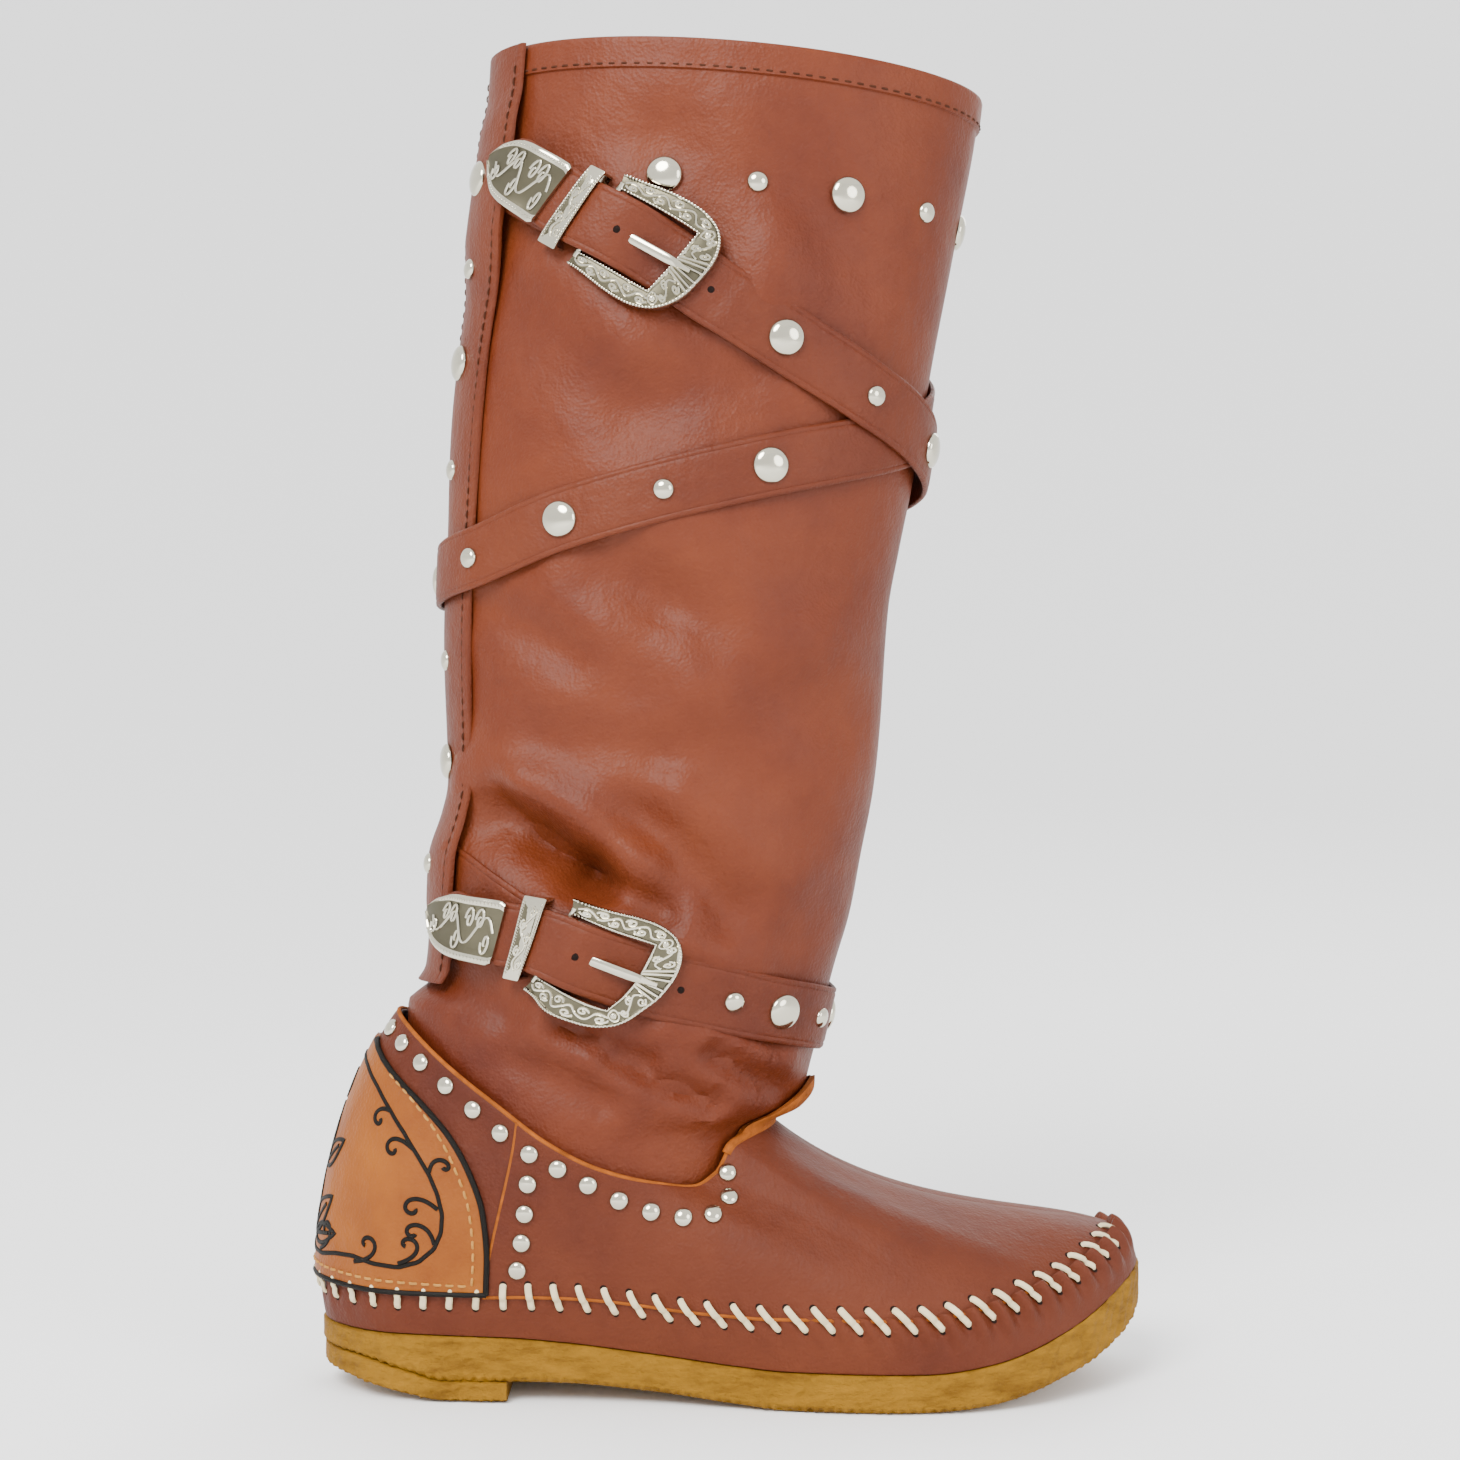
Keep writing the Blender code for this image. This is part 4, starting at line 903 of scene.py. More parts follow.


# Folds of the leather seen from the side: one end, other end, half width, depth (below 0 a
# ridge) and the side of the boot that has them: -1 lateral, 1 medial, 0 both.
# A fold's depth also sets how dark its painted shade is.
FOLDS = table(
    "x0 z0 x1 z1 width depth side",
    (0.008, 0.176, 0.034, 0.161, 0.0085, 0.0085, -1),
    (0.016, 0.171, 0.040, 0.156, 0.0040, 0.0026, -1),
    (0.030, 0.232, 0.062, 0.204, 0.0240, 0.0013, -1),
    (0.034, 0.160, 0.058, 0.150, 0.0055, 0.0050, -1),
    (0.016, 0.187, 0.056, 0.166, 0.0055, -0.0030, -1),
    (0.050, 0.176, 0.078, 0.150, 0.0070, 0.0034, -1),
    (0.066, 0.184, 0.098, 0.160, 0.0080, -0.0020, -1),
    (0.028, 0.115, 0.054, 0.105, 0.0036, 0.0030, -1),
    (0.044, 0.104, 0.074, 0.091, 0.0034, 0.0032, -1),
    (0.012, 0.104, 0.040, 0.092, 0.0050, 0.0024, -1),
    (0.060, 0.114, 0.094, 0.104, 0.0050, -0.0020, -1),
    (0.074, 0.106, 0.096, 0.092, 0.0036, 0.0026, -1),
    (0.040, 0.262, 0.060, 0.244, 0.0090, 0.0026, -1),
    (0.052, 0.300, 0.100, 0.318, 0.0110, 0.0022, -1),
    (0.052, 0.352, 0.068, 0.330, 0.0090, 0.0026, -1),
    (0.092, 0.346, 0.100, 0.312, 0.0100, -0.0020, -1),
    (0.024, 0.345, 0.050, 0.318, 0.0090, -0.0022, -1),
    (0.070, 0.214, 0.104, 0.232, 0.0100, -0.0024, -1),
    (-0.018, 0.130, 0.010, 0.118, 0.0060, 0.0024, -1),
    (0.060, 0.380, 0.075, 0.350, 0.0100, 0.0018, -1),
    (0.095, 0.372, 0.120, 0.345, 0.0100, 0.0014, -1),
    (0.006, 0.240, 0.030, 0.226, 0.0060, 0.0018, -1),
    (0.040, 0.250, 0.072, 0.235, 0.0070, 0.0014, -1),
    (0.078, 0.226, 0.112, 0.206, 0.0080, 0.0014, -1),
    (0.022, 0.202, 0.056, 0.196, 0.0060, 0.0016, -1),
    (0.014, 0.170, 0.050, 0.160, 0.0070, 0.0040, 1),
    (0.050, 0.150, 0.090, 0.158, 0.0060, 0.0022, 1),
    (0.004, 0.184, 0.060, 0.192, 0.0060, -0.0022, 1),
    (0.020, 0.110, 0.050, 0.092, 0.0060, 0.0024, 1),
    (0.010, 0.238, 0.070, 0.224, 0.0080, 0.0018, 1),
    (0.060, 0.372, 0.110, 0.345, 0.0100, 0.0016, 1),
    (0.066, 0.128, 0.092, 0.108, 0.0045, 0.0018, 0),
    (0.060, 0.140, 0.088, 0.131, 0.0045, -0.0012, 0))


def fold_depth(points):
    """How far the folds push the leather in at each point."""
    depth = np.zeros(points.shape[:-1])
    flat = points[..., [0, 2]]
    for i in range(len(FOLDS["x0"])):
        start = np.array((FOLDS["x0"][i], FOLDS["z0"][i]))
        run = np.array((FOLDS["x1"][i], FOLDS["z1"][i])) - start
        share = np.clip(((flat - start) @ run) / (run @ run), 0.0, 1.0)
        away = np.linalg.norm(flat - (start + share[..., None] * run), axis=-1) / FOLDS["width"][i]
        swell = np.exp(-away ** 2) - 0.35 * np.exp(-(away - 2.0) ** 2)
        side = FOLDS["side"][i]
        on_side = 1.0 if side == 0 else ease(-0.002, 0.016, points[..., 1] * side)
        depth += FOLDS["depth"][i] * swell * on_side
    return depth


def hollow_depth(angle, height):
    """How far the shaft's soft hollows push its skin in."""
    depth = np.zeros(np.broadcast(angle, height).shape)
    for centre, level, span, tall, deep in zip(*(SHAFT_HOLLOWS[k] for k in SHAFT_HOLLOWS)):
        across = ((angle - centre + 180.0) % 360.0 - 180.0) / span
        up = (height / BOOT_HEIGHT - level) / tall
        depth += deep * SHAFT_HALF_WIDTH * np.exp(-across ** 2 - up ** 2)
    return depth


def build_shaft():
    """The leg with its hollows, folds, hem and lining."""
    angles = np.linspace(0.0, 360.0, 301)[:-1][:, None]
    bottom, rim = top_edge(angles) - SHAFT_TUCK, collar_height(angles)
    hem = rim - HEM_WIDTH
    shares = np.linspace(0.0, 1.0, 150)[None]
    body = bottom + (hem - 0.0004 - bottom) * shares
    band = hem + (rim - 0.0008 - hem) * np.linspace(0.0, 1.0, 9)[None]
    height = np.concatenate((body, band, rim, rim), axis=1)
    out = np.concatenate((0 * body, HEM_STEP + 0 * band, HEM_STEP * 0.6 + 0 * rim,
                          0 * rim - LINING_GAP), axis=1)
    risen = ease(0.0, 0.12, (height - bottom) / (rim - bottom))
    free = risen * ease(0.0, 0.05, (rim - height) / rim)
    folds = fold_depth(shaft_skin(angles, height)) * free
    outer = shaft_skin(angles, height, out - hollow_depth(angles, height) * risen - folds)
    low = bottom + (rim - bottom) * np.linspace(0.0, 1.0, 40)[None]
    inner_out = -SHAFT_WALL - hollow_depth(angles, low) - LINING_GAP
    inner = shaft_skin(angles, low, inner_out - fold_depth(shaft_skin(angles, low)))
    mesh = bmesh.new()
    verts = add_grid(mesh, sheet_rings(outer, inner), round_columns=True, round_rows=True)
    values = sheet_values(folds, inner, True)
    # Painted shade: the deeper a fold, the darker its leather.
    add_values(mesh, "fold", zip(verts, np.clip(values / FULL_FOLD, 0.0, 1.0) ** 1.3))
    add_values(mesh, "worn", zip(verts, np.clip(-values / FULL_WEAR_AND_SHADE, 0.0, 0.3)))
    add_piece("leg_leather", mesh, ("shaft_leather",), "shaft")


def seam_run(count=1600):
    """Places round the lace seam and the distance walked along it from the heel."""
    places = np.linspace(-0.5, 0.5, count)
    line = foot_point(places, column["seam"](np.abs(places)))
    walked = walk(line)
    return places, walked - np.interp(0.0, places, walked)


def gather_strength(place, up, looks):
    """Gathers' nearness to the seam and to the toe, from 0 to 1, and their full height."""
    near = ease(0.15, 1.0, up / seam_at(place))
    toe = ease(0.22, 0.44, np.abs(signed_place(place)))
    return near, toe, LEAST_GATHER + (looks.gather_depth - LEAST_GATHER) * toe


def gather_height(place, up, looks):
    """Height of the gathers that the lace pulls into the moccasin's bottom piece."""
    run = np.interp(signed_place(place), *seam_run())
    wave = 0.5 + 0.5 * np.cos(2 * math.pi * run / looks.lace_pitch)
    near, _, full = gather_strength(place, up, looks)
    return wave * near * full


def layer_piece(start, end, rows, low, high, step, inside, relief, shade):
    """One leather layer of the foot between two places and two heights, as a closed sheet."""
    places = np.linspace(start, end, rows)[:, None]
    lows, highs = low(places), high(places)
    shares = np.linspace(0.0, 1.0, 56)[None]
    up = lows + (highs - lows) * shares
    base = foot_point(places, up)
    folds, dark = relief(places, up, base), shade(places, up, base)
    full_round = end - start > 0.999
    if full_round:
        places, up, folds, dark = places[:-1], up[:-1], folds[:-1], dark[:-1]
    soft = np.minimum(1.0, np.minimum(shares, 1 - shares) * 60)
    outer = foot_skin(places, up, step - 0.0003 * (1 - soft) - folds)
    back = np.linspace(0.0, 1.0, 24)[None]
    up_in = (lows + (highs - lows) * back)[:len(places)]
    inner = foot_skin(places, up_in, inside)
    mesh = bmesh.new()
    verts = add_grid(mesh, sheet_rings(outer, inner), round_columns=True, round_rows=full_round,
                     cap=not full_round)
    values = sheet_values(dark, inner, full_round)
    # Painted shade of the folds, gathers and seam edge goes into the fold value.
    add_values(mesh, "fold", zip(verts, np.clip(values, 0.0, 0.9)))
    add_values(mesh, "worn", zip(verts, np.clip(-values, 0.0, 0.3)))
    return mesh


def build_foot(looks):
    """Moccasin bottom piece with its gathers, quarters and vamp, and painted shade in their folds
    and valleys.
    """
    def bottom_relief(places, up, base):
        return -gather_height(places, up, looks) + 0.3 * fold_depth(base)

    def top_relief(places, up, base):
        away = ease(0.0, 0.2, up - above_seam(places, 0.0))
        return fold_depth(base) * away * ease(0.0, 0.12, 1.02 - up)

    def bottom_shade(places, up, base):
        # Painted shade in the gathers' valleys, stronger towards the toe.
        near, toe, full = gather_strength(places, up, looks)
        valley = 1 - gather_height(places, up, looks) / np.maximum(near, 0.05) / full
        return 0.95 * valley ** 1.5 * near * (0.25 + 0.75 * toe)

    def top_shade(places, up, base):
        # Painted shade in the folds, and darker along the layer's lower edge by the lace seam.
        seam_shade = ease(0.10, 0.0, up - above_seam(places, 0.0)) * 0.35
        return top_relief(places, up, base) / FULL_WEAR_AND_SHADE + seam_shade

    mesh = layer_piece(-0.5, 0.5, 841, lambda p: 0 * p, lambda p: seam_at(p) * 1.06, 0.0,
                       -UPPER_WALL, bottom_relief, bottom_shade)
    add_piece("moccasin_sides", mesh, ("foot_leather", "raw_edge"), "upper")
    mesh = layer_piece(-VAMP_REAR - 0.008, VAMP_REAR + 0.008, 131, seam_at, lambda p: 0 * p + 1.0,
                       QUARTER_STEP, -UPPER_WALL * 0.6, top_relief, top_shade)
    add_piece("quarters", mesh, ("foot_leather", "raw_edge"))
    mesh = layer_piece(VAMP_REAR, 1 - VAMP_REAR, 321, seam_at, lambda p: 0 * p + 1.0,
                       VAMP_STEP, -UPPER_WALL, top_relief, top_shade)
    add_piece("vamp", mesh, ("foot_leather", "raw_edge"))


def strap_profile(half, low, high):
    """Cross-section of a strap: across and outwards, with eased edges and a pressed line."""
    line, deep = half - 0.0017, 0.00022
    top = [(-half, low + 0.0004), (-half, high - 0.0006), (-half + 0.0005, high - 0.0001),
           (-line - 0.0004, high), (-line, high - deep), (-line + 0.0004, high)]
    middle = [(across, high + 0.0001) for across in np.linspace(-line + 0.001, line - 0.001, 7)]
    under = [(half - 0.0004, low), (0.0, low), (-half + 0.0004, low)]
    return np.array(top + middle + [(-a, o) for a, o in reversed(top)] + under)


def fold_rings(strap):
    """The strap's thinned end, folded round the buckle's bar."""
    turns = np.linspace(math.radians(115), math.radians(-90), 16)
    half = STRAP_WIDTH / 2
    inner = BAR_RADIUS + CLEARANCE
    outer = inner + STRAP_FOLD_THICKNESS
    shape = strap_profile(half, 0.0, 1.0)
    across, share = shape[:, 0], np.clip(shape[:, 1], 0.0, 1.0)
    radii = outer + (inner - outer) * share
    along = strap.loop - radii[None] * np.cos(turns)[:, None]
    out = BAR_OUT + radii[None] * np.sin(turns)[:, None]
    return strap.place(along, across[None], out)


def build_strap(name, strap, node):
    """Leather strap from the fold round its bar to its pointed end."""
    body = np.arange(0.004, strap.length - STRAP_POINT_LENGTH, 0.0016)
    point = strap.length - STRAP_POINT_LENGTH * (1 - np.array((0.2, 0.45, 0.7, 0.88, 0.97)))
    along = np.concatenate((body, point))
    past = np.clip((along - strap.length + STRAP_POINT_LENGTH) / STRAP_POINT_LENGTH, 0.0, 1.0)
    shape = strap_profile(STRAP_WIDTH / 2, 0.0, STRAP_THICKNESS)
    across = shape[None, :, 0] * (1 - 0.85 * past[:, None] ** 1.6)
    wave = 0.00025 * np.sin(along * 61.0) + 0.0002 * np.sin(along * 137.0 + 1.0)
    wave = np.maximum(wave, 0) * (np.abs(along - strap.loop) > 0.045)
    out = strap.underside(along)[:, None] + shape[None, :, 1] + wave[:, None]
    rings = np.concatenate((fold_rings(strap), strap.place(along[:, None], across, out)))
    mesh = bmesh.new()
    add_grid(mesh, rings, round_columns=True, cap=True)
    add_piece(name, mesh, ("strap_leather",), node)


def stud_spots(strap, mark, pitch, crossing, offset):
    """Places of studs along a strap: every second pitch from the marked angle."""
    first = strap.along_at(mark)
    first -= 2 * pitch * int((first - STUDS_FROM_BAR) / (2 * pitch)) - offset * pitch
    spots = np.arange(first, strap.loop - STUDS_TO_BAR, 2 * pitch)
    angles = strap.angle_at(spots)
    return [s for s, a in zip(spots, angles) if not crossing[0] < a < crossing[1]]


def skin_seat(angle, height, out):
    """Seat of a stud on the shaft or back strip, with the outward direction there."""
    round_way = shaft_skin(angle + 2, height) - shaft_skin(angle - 2, height)
    up_way = shaft_skin(angle, height + 0.005) - shaft_skin(angle, height - 0.005)
    return shaft_skin(angle, height, out), unit(np.cross(round_way, up_way))


def collar_seats(offset):
    """Seats of every second stud of the collar's row, from the marked one or half way on."""
    angles = np.arange(COLLAR_STUD_MARK, COLLAR_STUD_MARK + 361.0, 1.0)
    line = shaft_skin(angles, collar_height(angles) - COLLAR_STUD_DROP)
    walked = walk(line)
    for i in range(COLLAR_BIG_STUDS):
        angle = np.interp((2 * i + offset) * COLLAR_STUD_SHARE * walked[-1], walked, angles)
        height = collar_height(angle) - COLLAR_STUD_DROP
        sunk = hollow_depth(angle, height) * STUD_SINK
        sunk += np.clip(fold_depth(shaft_skin(angle, height)), -0.0015, 0.0010)
        yield skin_seat(angle, height, -sunk - 0.0002)


# Studs along each strap: angle of the marked one, pitch, and the stretch without studs.
STUD_ROWS = ((WRAP, WRAP_STUD_MARK, WRAP_STUD_PITCH, WRAP_CROSSING),
             (ANKLE, ANKLE_STUD_MARK, ANKLE_STUD_PITCH, (0.0, 0.0)))


def leg_stud_seats(offset, strip_levels):
    """Seats of every second stud on collar, back strip and straps, and the strip's own ones."""
    yield from collar_seats(offset)
    for level in strip_levels:
        out = strip_off(level) + STRIP_THICKNESS
        yield skin_seat(strip_angle(level), level * BOOT_HEIGHT, out)
    for strap, mark, pitch, crossing in STUD_ROWS:
        for along in stud_spots(strap, mark, pitch, crossing, offset):
            top = strap.underside(along) + STRAP_THICKNESS
            yield strap.place(along, 0.0, top), strap.axes(along, 0.0, top)[2]


def build_big_studs():
    """Flat-domed big studs, where the frame has them."""
    mesh = bmesh.new()
    for seat, outward in leg_stud_seats(0, STRIP_STUD_LEVELS):
        add_dome(mesh, seat, outward, BIG_STUD_RADIUS, BIG_STUD_HEIGHT, 32, 9, 0.0004)
    nodes = [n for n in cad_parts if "_stud_" in n]
    made = add_piece("big_studs", mesh, ("bright_nickel",))
    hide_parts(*nodes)


def build_small_studs(looks):
    """Small round studs between the big ones, and the rows on quarters and vamp."""
    mesh = bmesh.new()
    radius = looks.small_stud_radius
    for seat, outward in leg_stud_seats(1, SMALL_STRIP_LEVELS):
        add_dome(mesh, seat, outward, radius, radius * 0.62, 24, 7, 0.0003)
    for seat, outward in foot_stud_seats():
        add_dome(mesh, seat, outward, radius * 0.9, radius * 0.55, 20, 6, 0.0003)
    add_piece("small_studs", mesh, ("bright_nickel",))


# Studs of the foot, from the heel to the instep: place and share of the way above the seam.
FOOT_STUDS = table(
    "place share",
    (0.018, 0.935), (0.035, 0.930), (0.052, 0.925), (0.069, 0.915), (0.085, 0.895), (0.102, 0.870),
    (0.130, 0.860), (0.131, 0.670), (0.131, 0.490), (0.131, 0.320), (0.130, 0.160),
    (0.157, 0.860), (0.186, 0.830), (0.213, 0.770), (0.238, 0.720), (0.262, 0.700), (0.290, 0.740),
    (0.334, 0.880), (0.360, 0.970))


def foot_step(place):
    """How far the layer above the seam stands off the foot's base skin."""
    return np.where(np.abs(place) > VAMP_REAR, VAMP_STEP, QUARTER_STEP)


def foot_stud_seats():
    """Seats of the foot's studs on both sides."""
    for side in (-1, 1):
        for place, share in zip(FOOT_STUDS["place"], FOOT_STUDS["share"]):
            spot, up = side * place, above_seam(side * place, share)
            yield foot_skin(spot, up, foot_step(place)), foot_normal(spot, np.asarray(up))


def frame_station(share):
    """Outer and inner corners of the frame's plate at shares of the way from its end."""
    inner_end = FRAME_LENGTH - FRAME_END_WIDTH
    inner_half = STRAP_WIDTH / 2 + 2 * CLEARANCE
    run = share * (inner_end + inner_half)
    inner = spatial(inner_end - np.maximum(run - inner_half, 0.0), np.minimum(run, inner_half))
    bend = math.radians(90) * np.minimum(1.0, share * 2)
    reach = FRAME_LENGTH * (0.58 + 0.42 * np.cos(bend))
    arm = (share - 0.5) * 2
    reach = np.where(share > 0.5, FRAME_LENGTH * 0.58 * (1 - arm) - 0.0012 * arm, reach)
    half = FRAME_WIDTH / 2 * np.sin(bend) ** 0.7
    return spatial(reach, half * (1 - 0.12 * ease(0.55, 1.0, share))), inner


class BuckleFace:
    """Upper face of a buckle's frame; share runs round the U, across from outer to inner edge."""

    def __init__(self, strap):
        self.strap = strap
        self.low = STRAP_CLEARANCE + STRAP_THICKNESS + 2 * CLEARANCE

    def at(self, share, across, rise):
        outer, inner = frame_station(np.abs(share))
        spot = outer + (inner - outer) * np.asarray(across)[..., None]
        dip = BAR_OUT - BAR_RADIUS - self.low
        base = self.low + dip * ease(0.5, 1.0, np.abs(share))
        side = np.where(np.asarray(share) < 0, -1.0, 1.0)
        return self.strap.place(self.strap.loop - spot[..., 0], side * spot[..., 1], base + rise)


def metal_profile(thick, rim, ground):
    """Plate's cross-section: across share and height, with raised rims and a lower ground."""
    return np.array(((0.0, 0.0), (0.0, thick * 0.55), (0.02, thick * 0.85), (0.05, thick),
                     (rim * 0.7, thick), (rim, thick - ground), (0.35, thick * 1.06 - ground),
                     (0.5, thick * 1.08 - ground), (0.65, thick * 1.06 - ground),
                     (1 - rim, thick - ground), (1 - rim * 0.7, thick), (0.95, thick),
                     (0.98, thick * 0.85), (1.0, thick * 0.55), (1.0, 0.0)))


def face_out(face, share, across, rise):
    """Outward direction on a piece's face."""
    return unit(face(share, across, rise + 0.001) - face(share, across, rise))


def vine(start, end, waves, sway, curls):
    """Scroll pattern in a face's own shares: a waving stem and curling leaves beside it."""
    along = np.linspace(start, end, 90)
    phase = np.linspace(0.0, waves * 2 * math.pi, 90)
    lines = [np.column_stack((along, 0.5 + sway * np.sin(phase)))]
    for i in range(curls):
        share = (i + 0.5) / curls
        side = 1 if math.cos(share * waves * 2 * math.pi) < 0 else -1
        centre = np.array((start + (end - start) * share, 0.5 + side * sway * 0.75))
        turns = np.linspace(0.0, 2.6 * math.pi, 26)
        size = np.linspace(1.0, 0.18, 26)
        reach = abs(end - start) / curls * 0.42
        curl = np.column_stack((np.cos(turns) * reach, np.sin(turns) * side * sway * 0.9))
        lines.append(centre + curl * size[:, None])
    return lines


def darken_ground(mesh, verts, shape, rim):
    """Give the lower ground between a plate's rims its antiqued finish."""
    inside = (shape[:, 0] > rim * 0.9) & (shape[:, 0] < 1 - rim * 0.9)
    columns = len(shape) + 1
    ground = {vert for i, vert in enumerate(verts)
              if vert.is_valid and inside[(i % columns) % len(shape)]}
    for face in mesh.faces:
        if all(vert in ground for vert in face.verts):
            face.material_index = 1


def add_scrolls(mesh, face, lines, rise, radius, finish=0):
    """Raised scrolls on a metal face, each a flattened rod along its line."""
    for line in lines:
        spot = (line[:, 0], line[:, 1], rise)
        add_tube(mesh, face(*spot), face_out(face, *spot), radius, 0.8, 6, finish)


def add_beads(mesh, face, start, end, across, rise, count, radius):
    """Row of beads along an edge of a metal face."""
    for share in np.linspace(start, end, count):
        spot = (np.array(share), np.array(across), rise)
        add_dome(mesh, face(*spot), face_out(face, *spot), radius, radius * 0.9, 7, 3)


def build_frame_plate(name, strap, node):
    """Engraved U-shaped plate with beaded rims, rosette and the bar between its arms."""
    face = BuckleFace(strap).at
    shape = metal_profile(FRAME_THICKNESS, 0.16, 0.0005)
    shares = np.linspace(-0.999, 0.999, 121)
    thick = 1.0 - 0.35 * ease(0.86, 1.0, np.abs(shares))
    points = face(shares[:, None], shape[None, :, 0], shape[None, :, 1] * thick[:, None])
    mesh = bmesh.new()
    verts = add_grid(mesh, points, round_columns=True, cap=True)
    darken_ground(mesh, verts, shape, 0.16)
    top = FRAME_THICKNESS - 0.0003
    for side in (-1, 1):
        add_scrolls(mesh, face, vine(side * 0.30, side * 0.96, 3, 0.17, 6), top, 0.00050)
        add_scrolls(mesh, face, vine(side * 0.07, side * 0.22, 1, 0.20, 3), top, 0.00050)
        bars = [np.column_stack((np.full(6, side * step), np.linspace(0.1, 0.9, 6)))
                for step in (0.012, 0.036, 0.058)]
        add_scrolls(mesh, face, bars, top + 0.0003, 0.0005)
    turns = np.linspace(0.0, 2 * math.pi, 22)
    for side in (-1, 1):
        ring = np.column_stack((side * 0.26 + 0.035 * np.cos(turns), 0.5 + 0.26 * np.sin(turns)))
        add_scrolls(mesh, face, [ring], top, 0.0004)
        spot = (np.array(side * 0.26), np.array(0.5), top)
        add_dome(mesh, face(*spot), face_out(face, *spot), 0.0011, 0.0007, 10, 4)
    add_beads(mesh, face, -0.97, 0.97, 0.07, FRAME_THICKNESS * 0.98, 92, 0.00042)
    add_beads(mesh, face, -0.97, 0.97, 0.93, FRAME_THICKNESS * 0.98, 70, 0.00036)
    across = np.linspace(-STRAP_WIDTH / 2 - 0.0025, STRAP_WIDTH / 2 + 0.0025, 9)
    rod = (strap.loop, across, BAR_OUT)
    add_tube(mesh, strap.place(*rod), face_out(strap.place, *rod), BAR_RADIUS, 1.0, 12)
    add_piece(name, mesh, ("bright_nickel", "antiqued_nickel"), node)


def build_prong(name, strap, node):
    """Tongue of the buckle, from its eye round the bar to the frame's end."""
    radius = BAR_RADIUS + CLEARANCE + PRONG_THICKNESS / 2
    inner_end = FRAME_LENGTH - FRAME_END_WIDTH
    rest = STRAP_CLEARANCE + STRAP_THICKNESS + 4 * CLEARANCE + FRAME_THICKNESS
    rest += PRONG_THICKNESS / 2
    crown = BAR_OUT + radius
    bar = strap.place(strap.loop, 0.0, BAR_OUT)
    span = strap.place(strap.loop - inner_end, 0.0, rest) - bar
    up = strap.place(strap.loop, 0.0, crown) - bar
    aside = unit(np.cross(span, up))
    up = unit(up - aside * (up @ aside))
    ahead = np.cross(up, aside)
    turns = np.linspace(math.radians(-200), math.radians(90), 20)
    eye = radius * np.column_stack((np.cos(turns), np.sin(turns)))
    reach = np.linspace(0.0, inner_end + FRAME_END_WIDTH * 0.6, 24)[1:]
    knots = (0.0, inner_end * 0.35, inner_end * 0.70, inner_end, inner_end + FRAME_END_WIDTH * 0.6)
    height = np.interp(reach, knots, (crown, crown, (crown + rest) / 2, rest, rest))
    pin = strap.place(strap.loop - reach, 0.0, height) - bar
    path = np.concatenate((eye, np.column_stack((pin @ ahead, pin @ up))))
    along = unit(np.gradient(path, axis=0))
    normal = np.column_stack((-along[:, 1], along[:, 0]))
    steps = np.arange(len(path))
    half = PRONG_WIDTH / 2 * (1 - 0.5 * ease(len(path) - 7, len(path) - 1, steps))
    shape = np.array(((-1.0, -0.5), (-1.0, 0.2), (-0.7, 0.5), (0.7, 0.5), (1.0, 0.2), (1.0, -0.5)))
    spots = path[:, None] + normal[:, None] * (shape[None, :, 1] * PRONG_THICKNESS)[..., None]
    points = bar + spots[..., :1] * ahead + spots[..., 1:] * up
    points = points + (half[:, None] * shape[None, :, 0])[..., None] * aside
    mesh = bmesh.new()
    add_grid(mesh, points, round_columns=True, cap=True)
    add_piece(name, mesh, ("bright_nickel",), node)


def build_keeper(name, strap, node):
    """Engraved metal loop round both layers of the strap."""
    middle = strap.loop + KEEPER_FROM_BAR
    half = STRAP_WIDTH / 2 + KEEPER_SIDE_ROOM
    base = STRAP_CLEARANCE - CLEARANCE / 2
    marks = np.linspace(-1.0, 1.0, 13)
    columns = []
    for shift, grow in ((-1.0, 0.0), (-1.0, 0.8), (-0.86, 1.0), (0.86, 1.0), (1.0, 0.8),
                        (1.0, 0.0)):
        along = middle + shift * KEEPER_WIDTH / 2
        top = strap.underside(along) + STRAP_THICKNESS + 2 * CLEARANCE
        thick = grow * KEEPER_THICKNESS
        over = [(m * (half + thick), top + thick - 0.0007 * abs(m) ** 6) for m in marks]
        sides = [(half + thick, (top + base) / 2), (half + thick * 0.9, base - thick * 0.4),
                 (0.0, base - thick * 0.4), (-half - thick * 0.9, base - thick * 0.4),
                 (-half - thick, (top + base) / 2)]
        outline = np.array(over + sides)
        columns.append(strap.place(np.full(len(outline), along), outline[:, 0], outline[:, 1]))
    mesh = bmesh.new()
    add_grid(mesh, np.stack(columns, axis=1), round_columns=True, round_rows=True)

    def face(share, across, rise):
        along = middle + (np.asarray(across) - 0.5) * KEEPER_WIDTH
        top = strap.underside(along) + STRAP_THICKNESS + 2 * CLEARANCE + KEEPER_THICKNESS
        share = np.asarray(share)
        return strap.place(along, share * half, top + rise - 0.0007 * np.abs(share) ** 6)

    ground = face(np.linspace(-0.93, 0.93, 15)[:, None], np.linspace(0.17, 0.83, 3)[None], 0.0002)
    add_grid(mesh, sheet_rings(ground, ground - 1e-5), round_columns=True, cap=True, finish=1)
    add_scrolls(mesh, face, vine(-0.85, 0.85, 2, 0.18, 5), 0.0003, 0.00048)
    for edge in (0.08, 0.92):
        add_beads(mesh, face, -0.92, 0.92, edge, 0.0001, 26, 0.00042)
    add_piece(name, mesh, ("bright_nickel", "antiqued_nickel"), node)


